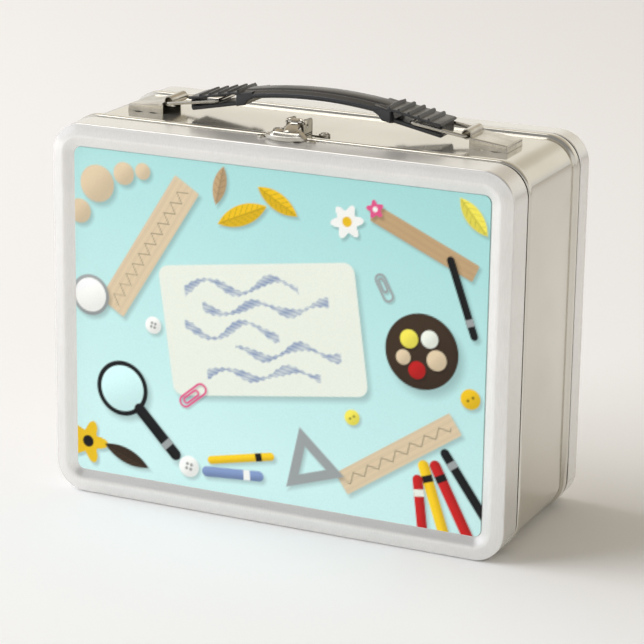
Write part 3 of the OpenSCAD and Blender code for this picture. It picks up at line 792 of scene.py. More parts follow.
@dataclass(frozen=True)
class Disc(Mark):
    """A round piece with a rim and a middle of another colour."""

    radius: float = 8.0
    rim: float = 0.0
    middle: Ink = Ink.CREAM
    holes: int = 0

    def distance(self, u: Array, v: Array) -> Array:
        """Distance to a circle."""
        return np.hypot(u, v) - self.radius

    def tone(self, u: Array, v: Array) -> Array:
        """Brighter towards the upper left, as a ball or a dish is."""
        return 0.86 + 0.24 * smooth(v - u, -self.radius, self.radius)

    def details(self, canvas: Canvas, u: Array, v: Array) -> None:
        """The middle inside the rim, a soft glint on it, and small round holes."""
        if self.rim:
            shine = 0.9 + 0.25 * smooth(v - 0.5 * u, -self.radius, self.radius)
            canvas.lay(np.hypot(u, v) - self.radius + self.rim, self.middle.linear() * shine[:, None])
        for k in range(self.holes):
            a = 2.0 * math.pi * k / self.holes + 0.6
            reach = 0.3 * self.radius
            canvas.lay(np.hypot(u - reach * math.cos(a), v - reach * math.sin(a)) - 0.1 * self.radius - 0.25,
                       self.ink.linear() * 0.35)


@dataclass(frozen=True)
class Leaf(Mark):
    """A pointed leaf: the space shared by two circles, with a vein."""

    half: float = 12.0
    half_width: float = 4.5

    def distance(self, u: Array, v: Array) -> Array:
        """Distance to the lens between two circles."""
        r = (self.half**2 + self.half_width**2) / (2.0 * self.half_width)
        return np.hypot(u, np.abs(v) + r - self.half_width) - r

    def tone(self, u: Array, v: Array) -> Array:
        """One half of the leaf is in shade."""
        return np.where(v > 0, 1.06, 0.86)

    def details(self, canvas: Canvas, u: Array, v: Array) -> None:
        """The middle vein and slanting side veins."""
        inside = self.distance(u, v) + 0.6
        vein = np.abs(v) - 0.3
        side = np.abs((u - 0.9 * np.abs(v)) % 3.0 - 1.5) - 0.22
        canvas.lay(np.maximum(np.minimum(vein, side), inside), self.ink.linear() * 0.55, 0.75)


@dataclass(frozen=True)
class Star(Mark):
    """A rounded star or flower: the radius swings with the angle."""

    radius: float = 6.0
    swing: float = 1.4
    lobes: int = 5
    heart: Ink = Ink.WHITE

    def distance(self, u: Array, v: Array) -> Array:
        """Distance to the swinging outline, near enough for small swings."""
        return np.hypot(u, v) - self.radius - self.swing * np.cos(self.lobes * np.arctan2(v, u))

    def details(self, canvas: Canvas, u: Array, v: Array) -> None:
        """The round heart."""
        canvas.lay(np.hypot(u, v) - 0.35 * self.radius, self.heart.linear())


@dataclass(frozen=True)
class Wedge(Mark):
    """A three-cornered piece with a three-cornered opening."""

    radius: float = 12.0
    opening: float = 0.0

    def distance(self, u: Array, v: Array) -> Array:
        """Largest distance to the three sides."""
        sides = [u * math.cos(a) + v * math.sin(a) for a in np.radians([-90.0, 30.0, 150.0])]
        outer = np.maximum.reduce(sides) - self.radius / 2.0
        return outer if not self.opening else np.maximum(outer, self.opening / 2.0 - np.maximum.reduce(sides))


@dataclass(frozen=True)
class Loop(Mark):
    """A bent wire: an outline of a long loop with another inside it."""

    half: float = 5.0
    radius: float = 2.6
    wire: float = 0.5

    def distance(self, u: Array, v: Array) -> Array:
        """Distance to two nested capsule lines."""
        outer = np.abs(np.hypot(np.maximum(np.abs(u) - self.half, 0.0), v) - self.radius) - self.wire
        inner = np.abs(np.hypot(np.maximum(np.abs(u + 1.2) - self.half + 2.0, 0.0), v) - self.radius * 0.5) - self.wire
        return np.minimum(outer, inner)


PRINT_MARKS: tuple[Mark, ...] = (
    Strip(-62.0, 34.0, 58.0, Ink.WOOD, 1.0, half_u=36.0, half_v=7.0),
    Strip(70.0, 52.0, -24.0, Ink.OAK, 0.8, half_u=26.0, half_v=4.0, step=0.0),
    Rod(88.0, 30.0, -70.0, Ink.BLACK, 1.0, half=17.0, radius=1.8, band=Ink.GREY),
    Card(-6.0, 3.0, 8.0, Ink.CREAM, 1.3),
    Strip(60.0, -44.0, 34.0, Ink.WOOD, 1.0, half_u=32.0, half_v=5.5, step=4.0),
    Disc(70.0, 4.0, 0.0, Ink.BROWN, 2.0, radius=17.0, rim=2.2, middle=Ink.BROWN),
    Disc(64.0, 9.0, 0.0, Ink.LEMON, 0.6, radius=4.2),
    Disc(73.5, 10.0, 0.0, Ink.CREAM, 0.6, radius=4.0),
    Disc(77.0, 1.0, 0.0, Ink.WOOD, 0.6, radius=4.6),
    Disc(68.0, -4.5, 0.0, Ink.RED, 0.6, radius=4.0),
    Disc(61.5, 0.5, 0.0, Ink.WOOD, 0.6, radius=3.4),
    Rod(88.0, -66.0, 118.0, Ink.RED, 1.0, half=22.0, radius=2.6, band=Ink.BLACK),
    Rod(80.0, -70.0, 109.0, Ink.YELLOW, 1.0, half=24.0, radius=2.6, band=Ink.BLACK),
    Rod(95.0, -58.0, 126.0, Ink.BLACK, 1.0, half=22.0, radius=2.2, band=Ink.GREY),
    Rod(72.0, -74.0, 97.0, Ink.RED, 1.0, half=20.0, radius=2.4, band=Ink.CREAM),
    Disc(-76.0, -34.0, 0.0, Ink.BLACK, 1.4, radius=13.0, rim=2.2, middle=Ink.TURQUOISE),
    Rod(-58.0, -52.0, -46.0, Ink.BLACK, 1.4, half=13.0, radius=2.8, band=Ink.GREY),
    Disc(-88.0, 60.0, 0.0, Ink.WOOD, 1.2, radius=8.5),
    Disc(-74.5, 66.0, 0.0, Ink.WOOD, 1.0, radius=5.2),
    Disc(-97.0, 46.5, 0.0, Ink.WOOD, 1.0, radius=5.6),
    Disc(-65.0, 68.0, 0.0, Ink.WOOD, 0.9, radius=3.8),
    Disc(-92.0, 8.0, 0.0, Ink.GREY, 1.0, radius=9.5, rim=1.6, middle=Ink.WHITE),
    Leaf(-16.0, 54.0, 24.0, Ink.YELLOW, 0.8, half=13.0, half_width=4.6),
    Leaf(1.0, 62.0, -30.0, Ink.YELLOW, 0.8, half=11.0, half_width=4.0),
    Leaf(-27.0, 66.0, 78.0, Ink.OAK, 0.8, half=9.0, half_width=3.2),
    Star(34.0, 57.0, 10.0, Ink.WHITE, 0.8, radius=6.4, swing=1.5, lobes=6, heart=Ink.YELLOW),
    Star(47.0, 64.0, 30.0, Ink.PINK, 0.8, radius=3.4, swing=0.8, lobes=5, heart=Ink.WHITE),
    Wedge(18.0, -55.0, 18.0, Ink.GREY, 0.9, radius=17.0, opening=8.0),
    Rod(-16.0, -58.0, 12.0, Ink.YELLOW, 0.9, half=15.0, radius=1.9, band=Ink.BLACK),
    Rod(-20.0, -66.0, 4.0, Ink.SLATE, 0.9, half=13.0, radius=2.4, band=Ink.WHITE),
    Loop(-40.0, -32.0, 40.0, Ink.PINK, 0.5),
    Loop(52.0, 30.0, -62.0, Ink.GREY, 0.5, half=4.0, radius=2.2),
    Disc(-42.0, -66.0, 0.0, Ink.WHITE, 0.8, radius=5.0, holes=4),
    Disc(38.0, -30.5, 0.0, Ink.LEMON, 0.7, radius=3.6, holes=2),
    Disc(-60.0, -2.0, 0.0, Ink.WHITE, 0.8, radius=4.0, holes=4),
    Disc(93.0, -14.0, 0.0, Ink.YELLOW, 0.8, radius=4.6, holes=2),
    Star(-94.0, -62.0, 0.0, Ink.YELLOW, 0.9, radius=8.0, swing=2.4, lobes=5, heart=Ink.BLACK),
    Leaf(-74.0, -66.0, 160.0, Ink.BROWN, 0.9, half=12.0, half_width=3.6),
    Leaf(92.0, 66.0, -50.0, Ink.LEMON, 0.8, half=10.0, half_width=3.8),
)


# ---- Case ---------------------------------------------------------------------


@dataclass(frozen=True)
class CaseSizes:
    """The case's place and size, read from the frame's nodes.

    Attributes:
        width: Overall width.
        height: Height without the handle.
        edge: y of the front cover's edge plane.
        depth: Distance between the two covers' edge planes.
        corner: Outline radius at the corners.
        crest: How far each cover's crest stands ahead of its edge plane.
        wall: How far the band's wall lies inside the outline.
    """

    width: float
    height: float
    edge: float
    depth: float
    corner: float = 14.5
    crest: float = 1.2
    wall: float = 0.9

    @classmethod
    def from_frame(cls) -> CaseSizes:
        """Reads the boxes of the covers and the band."""
        (flo, fhi), (_, bhi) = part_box("front_cover"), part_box("back_cover")
        edge = flo.y / MM + cls.crest
        return cls(width=(fhi.x - flo.x) / MM, height=fhi.z / MM, edge=edge,
                   depth=bhi.y / MM - cls.crest - edge)

    @property
    def top(self) -> float:
        """Height of the band's top wall."""
        return self.height - self.wall

    def loop(self, bottom_breaks: Sequence[float] = ()) -> tuple[Array, Array]:
        """The outline seen from the front, anticlockwise from the right end of the bottom's right corner.

        Args:
            bottom_breaks: Extra x positions on the bottom side.

        Returns:
            Points (n, 2) in x and z, and the outward unit normals.
        """
        half_x, mid = self.width / 2 - self.corner, self.height / 2
        half_z = mid - self.corner
        spots, normals = [], []
        corners = ((half_x, -half_z, -90), (half_x, half_z, 0), (-half_x, half_z, 90), (-half_x, -half_z, 180))
        for cx, cz, start in corners:
            a = np.radians(np.linspace(start, start + 90, 25))
            n = np.column_stack([np.cos(a), np.sin(a)])
            spots.append(np.array([cx, cz + mid]) + self.corner * n)
            normals.append(n)
            run = half_z if start in (-90, 90) else half_x
            t = np.linspace(-run, run, 41)[1:-1]
            if start == 180:
                t = np.unique(np.concatenate([t, bottom_breaks]))
            side = {-90: (np.full_like(t, half_x + self.corner), mid + t), 0: (-t, np.full_like(t, self.height)),
                    90: (np.full_like(t, -half_x - self.corner), mid - t), 180: (t, np.zeros_like(t))}[start]
            spots.append(np.column_stack(side))
            normals.append(np.tile(n[-1], (len(t), 1)))
        return np.concatenate(spots), np.concatenate(normals)

    def swept(self, insets: Array, depths: Array, bottom_breaks: Sequence[float] = ()) -> Array:
        """A profile carried round the outline: point = outline - inset x normal, at edge + depth.

        Args:
            insets: Distance inside the outline at each step of the profile.
            depths: Depth at each step.
            bottom_breaks: Extra x positions on the bottom side.

        Returns:
            Array (stations, steps, 3).
        """
        spots, normals = self.loop(bottom_breaks)
        xz = spots[:, None] - insets[None, :, None] * normals[:, None]
        y = np.broadcast_to(self.edge + depths, xz.shape[:2])
        return np.stack([xz[..., 0], y, xz[..., 1]], axis=-1)


@dataclass
class Covers:
    """The two pressed covers: flange, rounded edge, raised crest, and the sunk panel inside it.

    The lengths follow the CAD part: each is a distance in from the outline or a depth.
    """

    sizes: CaseSizes
    tin: bpy.types.Material
    front_flange: float = 15.4
    back_flange: float = 11.75
    draft: float = 0.15
    edge_radius: float = 0.9
    crest_in: float = 5.7
    panel_in: float = 10.9
    panel_sink: float = 1.2
    bow: float = 1.25
    lean: float = 0.6
    sheet: float = 0.32
    trim_depth: float = 13.0
    trim_height: float = 2.2

    def profile(self, flange: float) -> tuple[Array, Array]:
        """Insets and depths from the flange's rear edge to the panel.

        The flange leans in by the draft and the edge is a quarter circle. Outside the crest the height is
        rise x (1 - (1 - t)^bow), and inside it eases down to the panel, with t from 0 to 1 across each zone.
        """
        hem = np.array([[0.35, flange], [0.12, flange - 0.05], [0.0, flange - 0.3], [0.0, flange - 0.9]])
        deep = min(flange - 1.4, self.trim_depth)
        run = np.column_stack([np.linspace(0.02, self.draft, 8), np.linspace(deep, self.edge_radius + 0.5, 8)])
        edge = arc(self.draft + self.edge_radius, self.edge_radius, self.edge_radius, 180, 270, 9)
        t = np.linspace(0.0, 1.0, 15)[1:]
        rise, foot = self.sizes.crest, self.panel_sink
        start = self.draft + self.edge_radius
        outer = np.column_stack([start + (self.crest_in - start) * t, -rise * (1.0 - (1.0 - t) ** self.bow)])
        ease = self.lean * t**1.5 + (1.0 - self.lean) * t**2 * (3.0 - 2.0 * t)
        inner = np.column_stack([self.crest_in + (self.panel_in - self.crest_in) * t, -rise + (foot + rise) * ease])
        flat = np.array([[self.panel_in + 0.5, foot], [self.panel_in + 1.5, foot]])
        points = np.concatenate([hem, run, edge, outer, inner, flat])
        return points[:, 0], points[:, 1]

    def shell(self, flange: float, trimmed: bool) -> Shell:
        """One cover with its face towards the front.

        Args:
            flange: Depth of the flange.
            trimmed: Whether the bottom flange stops short for the hinges.

        Returns:
            The sheet's outer surface, with the panel as one flat face.
        """
        insets, depths = self.profile(flange)
        points = self.sizes.swept(insets, depths)
        keep = np.ones((points.shape[0], points.shape[1] - 1), bool)
        if trimmed:
            near = self.sizes.loop()[0][:, 1] < self.trim_height
            behind = np.minimum(depths[:-1], depths[1:]) > self.trim_depth - 0.2
            keep &= ~(near[:, None] & behind[None, :])
        body = grid(points, wrap_u=True, keep=keep)
        count, steps = points.shape[:2]
        rim = np.arange(count) * steps + steps - 1
        return capped(body, rim[::-1])

    def build(self) -> None:
        """Makes both covers. The back one is the front one's shape, turned to face the back."""
        middle = (0.0, 0.0, self.sizes.height / 2)
        front = facing_away(self.shell(self.front_flange, True), middle)
        make_piece("front_cover_tin", front, Make("cover", Slot.TIN, Finish.SHEET, self.sheet, ROUND_EDGE), self.tin,
                   ["front_cover"])
        back = self.shell(self.back_flange, False)
        shift = np.array([0.0, 2 * self.sizes.edge + self.sizes.depth, 0.0])
        turned = Shell(back.points * np.array([1.0, -1.0, 1.0]) + shift, back.corners, back.lengths)
        make_piece("back_cover_tin", facing_away(turned, middle),
                   Make("case", Slot.TIN, Finish.SHEET, self.sheet, ROUND_EDGE), self.tin, ["back_cover"])


@dataclass
class PrintedFace:
    """The printed insert in the front cover's recess, with its design painted point by point."""

    sizes: CaseSizes
    ink: bpy.types.Material
    face: float = 0.8
    thick: float = 0.4
    inset: float = 11.0
    corner: float = 3.4
    pitch: float = 0.56

    def build(self) -> None:
        """Makes the face as a grid whose corner points are drawn in to the rounded outline."""
        half_x, half_z = self.sizes.width / 2 - self.inset, self.sizes.height / 2 - self.inset
        x = np.linspace(-half_x, half_x, int(2 * half_x / self.pitch) + 1)
        z = np.linspace(-half_z, half_z, int(2 * half_z / self.pitch) + 1)
        gx, gz = np.meshgrid(x, z, indexing="ij")
        qx, qz = np.abs(gx) - half_x + self.corner, np.abs(gz) - half_z + self.corner
        reach = np.maximum(np.maximum(qx, qz), 1e-9)
        shrink = np.where((qx > 0) & (qz > 0), reach / np.maximum(np.hypot(qx, qz), 1e-9), 1.0)
        px = np.where(shrink < 1, np.sign(gx) * (half_x - self.corner + qx * shrink), gx)
        pz = np.where(shrink < 1, np.sign(gz) * (half_z - self.corner + qz * shrink), gz)
        front = np.stack([px, np.full_like(px, self.sizes.edge + self.face), pz + self.sizes.height / 2], axis=-1)
        shell = facing_away(grid(front), (0.0, 0.0, self.sizes.height / 2))
        how = Make("cover", Slot.PRINT, Finish.SHEET, self.thick, ROUND_EDGE)
        piece = make_piece("printed_face", shell, how, self.ink, ["front_print"])
        mesh = piece.data
        co = np.empty(len(mesh.vertices) * 3, np.float32)
        mesh.vertices.foreach_get("co", co)
        spots = co.reshape(-1, 3) / MM
        canvas = Canvas(spots[:, 0].astype(float), spots[:, 2].astype(float) - self.sizes.height / 2)
        for mark in PRINT_MARKS:
            mark.paint(canvas)
        layer = mesh.attributes.new(PrintFinish.attribute, "FLOAT_COLOR", "POINT")
        rgba = np.ones((len(spots), 4), np.float32)
        rgba[:, :3] = np.clip(canvas.colour, 0.0, 1.0)
        layer.data.foreach_set("color", rgba.ravel())
        LOG.info("printed_face: %d marks painted", len(PRINT_MARKS))


@dataclass
class Band:
    """The band round the four sides, with its lips, two beads and slope, notched for the hinges."""

    sizes: CaseSizes
    tin: bpy.types.Material
    lip_front: float = 11.4
    front: float = 16.7
    front_bead: float = 5.2
    back: float = 79.2
    rear_bead: float = 4.1
    ramp: float = 1.9
    lip_back: float = 92.0
    sheet: float = 0.4
    notch_x: float = 62.0
    notch_half: float = 15.5
    notch_depth: float = 18.05
    belly: float = 0.5
    belly_end: float = 14.0
    flush_zone: tuple[float, float] = (4.0, 30.0)
    gap_deep: float = 2.3
    proud: float = 0.7
    rear_proud: float = 0.5
    bead_round: float = 1.2

    def profile(self) -> tuple[Array, Array]:
        """Insets and depths from the front lip to the rear lip.

        The front bead has a steep round front edge, a flat crown and a soft slope behind. The rear bead is a
        flat step behind a groove and a slope, with a round back edge. A deep gap lies outside each bead.
        """
        wall, bead, deep = self.sizes.wall, self.front_bead, self.gap_deep
        lip = np.array([[deep, self.lip_front], [deep, self.front - 0.7], [deep - 0.3, self.front - 0.25]])
        front = self.front + 0.1
        r = self.bead_round
        out = -self.proud
        rise_line = np.column_stack([np.linspace(deep - 0.6, out + r, 5), np.full(5, front)])
        nose = arc(out + r, front + r, r, 270, 180, 9)
        crown = np.column_stack([np.full(5, out), np.linspace(front + r + 0.3, self.front + bead - 2.1, 5)])
        t = np.linspace(0.0, 1.0, 11)[1:]
        fall = np.column_stack([out + (wall - out) * smooth(t, 0.0, 1.0), self.front + bead - 1.9 + 2.3 * t])
        dome = np.concatenate([rise_line, nose[1:], crown, fall])
        flat = np.linspace(self.front + bead + 0.9, self.back - self.rear_bead - self.ramp - 1.6, 26)
        field_line = np.column_stack([np.full(26, wall), flat])
        start = self.back - self.rear_bead - self.ramp
        t = np.linspace(0.0, 1.0, 15)
        rear = -self.rear_proud
        slope = np.column_stack([wall + (rear - wall) * smooth(t, 0.35, 1.0) + 0.1 * bump(t, 0.33, 0.34),
                                 start + self.ramp * t])
        step = np.array([[rear, start + self.ramp + 1.5], [rear, self.back - 2.0]])
        turn = np.column_stack([rear + r * (1.0 - np.cos(np.linspace(0, 1, 9) * np.pi / 2)),
                                self.back - r + r * np.sin(np.linspace(0, 1, 9) * np.pi / 2)])
        tail = np.array([[rear + r + 0.5, self.back], [deep - 0.3, self.back + 0.2], [deep, self.back + 0.7],
                         [deep, self.back + 4.0], [deep, self.lip_back]])
        points = np.concatenate([lip, dome, field_line, slope, step, turn, tail])
        return points[:, 0], points[:, 1]

    def build(self) -> None:
        """Makes the band. Its walls swell a little in the middle, and the beads are flush at the foot."""
        insets, depths = self.profile()
        edges = [s * (self.notch_x + e * self.notch_half) for s in (-1, 1) for e in (-1, 1)]
        points = self.sizes.swept(insets, depths, edges)
        spots, normals = self.sizes.loop(edges)
        sunk = np.clip(-insets, 0.0, None)[None, :] * (1.0 - smooth(spots[:, 1], *self.flush_zone))[:, None]
        points[..., 0] -= sunk * normals[:, None, 0]
        points[..., 2] -= sunk * normals[:, None, 1]
        mid_z, end = self.sizes.height / 2, self.belly_end
        on_x = np.cos(np.clip(np.abs(spots[:, 0]) / (self.sizes.width / 2 - end), 0, 1) * np.pi / 2)
        on_z = np.cos(np.clip(np.abs(spots[:, 1] - mid_z) / (mid_z - end), 0, 1) * np.pi / 2)
        along = on_x * np.abs(normals[:, 1]) + on_z * np.abs(normals[:, 0])
        run = (depths - self.front - self.front_bead) / (self.back - 12 - self.front - self.front_bead)
        across = np.sin(np.clip(run, 0, 1) * np.pi)
        swell = self.belly * along[:, None] * across[None, :]
        points[..., 0] += swell * normals[:, None, 0]
        points[..., 2] += swell * normals[:, None, 1]
        mid_x = 0.5 * (spots[:, 0] + np.roll(spots[:, 0], -1))
        low = (spots[:, 1] < 0.5) & (np.abs(np.abs(mid_x) - self.notch_x) < self.notch_half)
        keep = ~(low[:, None] & (depths[1:] < self.notch_depth + 0.3)[None, :])
        shell = facing_away(grid(points, wrap_u=True, keep=keep), (0.0, 0.0, self.sizes.height / 2))
        how = Make("case", Slot.TIN, Finish.SHEET, self.sheet, ROUND_EDGE)
        make_piece("band_tin", shell, how, self.tin, ["body_band"])


# ---- Handle -------------------------------------------------------------------


@dataclass
class HandleBrackets:
    """The two pressed caps on the band, each with a rolled tube for its link."""

    sizes: CaseSizes
    nickel: bpy.types.Material
    inner: float = 74.6
    outer: float = 92.35
    half: float = 9.2
    high: float = 5.1
    low: float = 3.0
    edge: float = 0.6
    sheet: float = 0.7
    tube_x: float = 72.4
    tube_z: float = 5.85
    tube_radius: float = 2.3
    tongue: float = 7.1
    tube_sheet: float = 0.55

    def cap(self) -> Shell:
        """The cap: a wedge with a rounded rim, open at its inner end.

        The top line runs outwards and turns down at the end. At each of its points, the section is a quarter
        circle at each side and a straight skirt to the foot line, which lifts in two low arches.
        """
        fall = (self.high - self.low) / (self.outer - self.inner)
        r = self.edge
        x = np.linspace(self.inner, self.outer - r - 0.2, 28)
        ridge = np.column_stack([x, self.high - fall * (x - self.inner)])
        bend = arc(self.outer - r - 0.2, ridge[-1, 1] - r, r, 84, 4, 9)
        end = np.column_stack([np.linspace(bend[-1, 0] + 0.04, self.outer, 6),
                               np.linspace(bend[-1, 1] - 0.25, 0.12, 6)])
        line = np.concatenate([ridge, bend, end])
        ahead = np.gradient(line, axis=0)
        ahead /= np.linalg.norm(ahead, axis=1, keepdims=True)
        out = np.column_stack([-ahead[:, 1], ahead[:, 0]])
        foot_x = np.concatenate([x, np.linspace(x[-1] + 0.15, self.outer - r, len(bend) + len(end))])
        arches = 0.36 * (bump(foot_x, self.inner + 4.6, 3.0) + bump(foot_x, self.outer - 5.6, 3.0)) ** 0.7
        foot = np.column_stack([foot_x, 0.04 + arches])
        phi = np.radians(np.linspace(0, 90, 7))
        rows = []
        inner_y = np.linspace(0.0, self.half - r, 9)[:-1]
        for y in inner_y:
            rows.append(np.column_stack([line[:, 0], np.full(len(line), y), line[:, 1]]))
        for p in phi:
            drop = r * (1 - math.cos(p))
            y = np.full(len(line), self.half - r + r * math.sin(p))
            rows.append(np.column_stack([line[:, 0] - out[:, 0] * drop, y, line[:, 1] - out[:, 1] * drop]))
        last = rows[-1]
        for s in np.linspace(0, 1, 6)[1:]:
            rows.append(np.column_stack([last[:, 0] + s * (foot[:, 0] - last[:, 0]), np.full(len(line), self.half),
                                         last[:, 2] + s * (foot[:, 1] - last[:, 2])]))
        half = np.stack(rows, axis=1)
        other = half[:, :0:-1] * np.array([1.0, -1.0, 1.0])
        return grid(np.concatenate([other, half], axis=1))

    def tube(self) -> Shell:
        """The roll: a strip that leaves the cap's top and turns once round the link's wire."""
        turn = arc(self.tube_x, self.tube_z, self.tube_radius, -12, 318, 40)
        lead = np.array([[self.inner + 1.6, self.high - 0.2], [self.inner + 0.5, self.high - 0.05]])
        strip = np.concatenate([lead, turn])
        return side_strip(strip, -self.tongue, self.tongue)

    def build(self) -> None:
        """Makes both brackets, the left one as the right one's mirror image."""
        lift = self.sizes.top
        cap = facing_away(self.cap(), ((self.inner + self.outer) / 2, 0.0, 1.0)).moved(z=lift)
        tube = facing_away(self.tube(), (self.tube_x, 0.0, self.tube_z)).moved(z=lift)
        how = Make("case", Slot.NICKEL, Finish.SHEET, self.sheet, 50.0)
        thin = Make("case", Slot.NICKEL, Finish.SHEET, self.tube_sheet, 50.0)
        for side, turn in (("right", lambda s: s), ("left", Shell.mirrored_x)):
            make_piece(f"bracket_cap_{side}", turn(cap), how, self.nickel, [f"handle_bracket_{side}"])
            make_piece(f"bracket_tube_{side}", turn(tube), thin, self.nickel)


@dataclass
class HandleLinks:
    """The two closed wire loops between the brackets and the grip."""

    sizes: CaseSizes
    nickel: bpy.types.Material
    axle: tuple[float, float] = (72.4, 5.0)
    bar: tuple[float, float] = (47.0, 8.65)
    rod_y: float = 8.25
    radius: float = 0.85
    bend: float = 1.3
    weld: float = 0.001

    def path(self) -> Array:
        """A rectangle with round corners in the link's own slanting plane."""
        (ax, az), (bx, bz) = self.axle, self.bar
        length = math.hypot(ax - bx, bz - az)
        b, y = self.bend, self.rod_y
        corners = ((b, -y + b, 270, 180), (b, y - b, 180, 90), (length - b, y - b, 90, 0), (length - b, -y + b, 0, -90))
        flat = np.concatenate([arc(u, v, b, s, e, 9) for u, v, s, e in corners])
        out = np.array([(bx - ax) / length, 0.0, (bz - az) / length])
        return np.array([ax, 0.0, az]) + flat[:, :1] * out + flat[:, 1:] * np.array([0.0, 1.0, 0.0])

    def build(self) -> None:
        """Makes both links."""
        wire = facing_away(rod(self.path(), self.radius, closed=True), (0, 0, 0)).moved(z=self.sizes.top)
        for side, shell in (("right", wire), ("left", wire.mirrored_x())):
            make_piece(f"link_wire_{side}", shell, Make(f"{side}_link", Slot.NICKEL), self.nickel,
                       [f"handle_link_{side}"], weld=self.weld)


@dataclass
class Grip:
    """The moulded grip: an arch with two ribbed flaps, and a lower flap under each."""

    sizes: CaseSizes
    plastic: bpy.types.Material
    half: float = 9.4
    crown: float = 17.7
    arch_radius: float = 205.0
    under: float = 13.8
    under_radius: float = 200.0
    finger: tuple[float, float, float] = (27.0, 4.97, 7.0)
    flap_x: float = 36.5
    flap_z: float = 14.4
    slope: float = 0.2
    tip: float = 61.3
    flap_thick: float = 1.4
    slot: float = 3.5
    lower_thick: float = 1.9
    lower_half: float = 7.0
    rib_pitch: float = 4.72
    ribs: int = 5
    rib_high: float = 0.85
    groove: float = 0.55
    groove_y: float = 4.9

    def flap_top(self, x: Array) -> Array:
        """Height of a flap's top at a distance from the middle."""
        return self.flap_z - self.slope * (x - self.flap_x)

    def section(self, x: Array, half: Array, low: Array, high: Array, radius: Array, crown: Array,
                groove: Array) -> Array:
        """Closed sections across the grip: rectangles with round corners, a crowned top and two grooves.

        Args:
            x: Station of each section.
            half: Half width.
            low: Height of the underside.
            high: Height of the top at its middle.
            radius: Corner radius.
            crown: How far the top falls towards its edges, as the square of the distance.
            groove: Depth of the two grooves.

        Returns:
            Array (stations, points, 3).
        """
        high_edge = high - crown
        r = np.minimum(radius, 0.48 * (high_edge - low))
        y_top = np.linspace(1.0, -1.0, 33)[None, :] * (half - r)[:, None]
        crowned = high[:, None] - crown[:, None] * (y_top / (half - r)[:, None]) ** 2
        crowned = crowned - groove[:, None] * (bump(y_top, self.groove_y, 0.75) + bump(y_top, -self.groove_y, 0.75))
        parts_y, parts_z = [y_top], [crowned]
        for sy, sz, start in ((-1, 1, 90), (-1, -1, 180), (1, -1, 270), (1, 1, 0)):
            a = np.radians(np.linspace(start, start + 90, 8))[None, :]
            cz = np.where(sz > 0, high_edge - r, low + r)[:, None]
            parts_y.append(sy * (half - r)[:, None] + r[:, None] * np.cos(a))
            parts_z.append(cz + r[:, None] * np.sin(a))
            if sy < 0 and sz < 0:
                fill = np.linspace(-1.0, 1.0, 12)[1:-1][None, :] * (half - r)[:, None]
                parts_y.append(fill)
                parts_z.append(np.broadcast_to(low[:, None], fill.shape))
        y, z = np.concatenate(parts_y, axis=1), np.concatenate(parts_z, axis=1)
        return np.stack([np.broadcast_to(x[:, None], y.shape), y, z], axis=-1)

    def upper(self) -> Shell:
        """The arch and both upper flaps in one skin, from tip to tip."""
        x = np.linspace(-self.tip, self.tip, 821)
        d = np.abs(x)
        on_flap = smooth(d, self.flap_x - 1.5, self.flap_x + 0.5)
        arch = self.crown - self.arch_radius + np.sqrt(self.arch_radius**2 - np.minimum(d, 60.0) ** 2)
        high = arch * (1 - on_flap) + self.flap_top(d) * on_flap
        for k in range(self.ribs):
            off = d - self.flap_x - k * self.rib_pitch
            high = high + self.rib_high * (smooth(off, -0.75, -0.35) - smooth(off, 0.35, 0.7))
            high = high - 0.25 * smooth(off, 0.3, 0.9) * (1.0 - smooth(off, 0.9, self.rib_pitch - 0.4))
        belly = self.under - self.under_radius + np.sqrt(self.under_radius**2 - np.minimum(d, 60.0) ** 2)
        slot_top = self.flap_top(d) - self.flap_thick
        deep = smooth(d, 29.0, 33.5)
        low = belly * (1 - deep) + (slot_top - 0.4) * deep
        low = np.where(d > 38.0, slot_top, low)
        tip = np.sqrt(np.clip(1.0 - (np.maximum(d - self.tip + 0.7, 0.0) / 0.7) ** 2, 0.02, 1.0))
        middle = 0.5 * (low + high)
        low, high = middle + (low - middle) * tip, middle + (high - middle) * tip
        half = self.half - 0.5 * (1 - tip)
        radius = 1.9 - 1.35 * on_flap
        crown = 1.5 * (1 - on_flap) + 0.12 * on_flap
        groove = self.groove * (1 - smooth(d, self.flap_x - 4.0, self.flap_x - 1.0))
        return grid(self.section(x, half, low, high, radius, crown, groove), wrap_v=True, caps=True)

    def lower(self) -> Shell:
        """One web and lower flap: the underside follows the finger opening's end, then the flap's slope."""
        x = np.concatenate([np.linspace(29.5, 39.5, 81), np.linspace(39.8, self.tip, 90)])
        fx, fz, fr = self.finger
        curve = fz + np.sqrt(np.clip(fr**2 - (x - fx) ** 2, 0.0, None))
        slot_low = self.flap_top(x) - self.flap_thick - self.slot
        base = slot_low - self.lower_thick
        low = np.where(x < fx + fr, np.maximum(curve, base), base)
        web_high = self.flap_top(x) - self.flap_thick + 0.3
        open_slot = smooth(x, 37.9, 38.5)
        high = np.maximum(web_high * (1 - open_slot) + slot_low * open_slot, low + 0.3)
        tip = np.sqrt(np.clip(1.0 - (np.maximum(x - self.tip + 1.5, 0.0) / 1.5) ** 2, 0.02, 1.0))
        low = high + (low - high) * tip
        half = self.half - 0.1 - (self.half - 0.1 - self.lower_half) * smooth(x, 37.0, 38.6) - 1.2 * (1 - tip)
        zero = np.zeros_like(x)
        return grid(self.section(x, half, low, high, zero + 0.5, zero, zero), wrap_v=True, caps=True)

    def stop(self) -> Shell:
        """The wall that closes the slot at the flap's tip."""
        x = np.linspace(self.tip - 1.5, self.tip - 0.25, 6)
        top = self.flap_top(x) - self.flap_thick
        zero = np.zeros_like(x)
        return grid(self.section(x, zero + 6.6, top - self.slot - 0.6, top + 0.5, zero + 0.3, zero, zero),
                    wrap_v=True, caps=True)

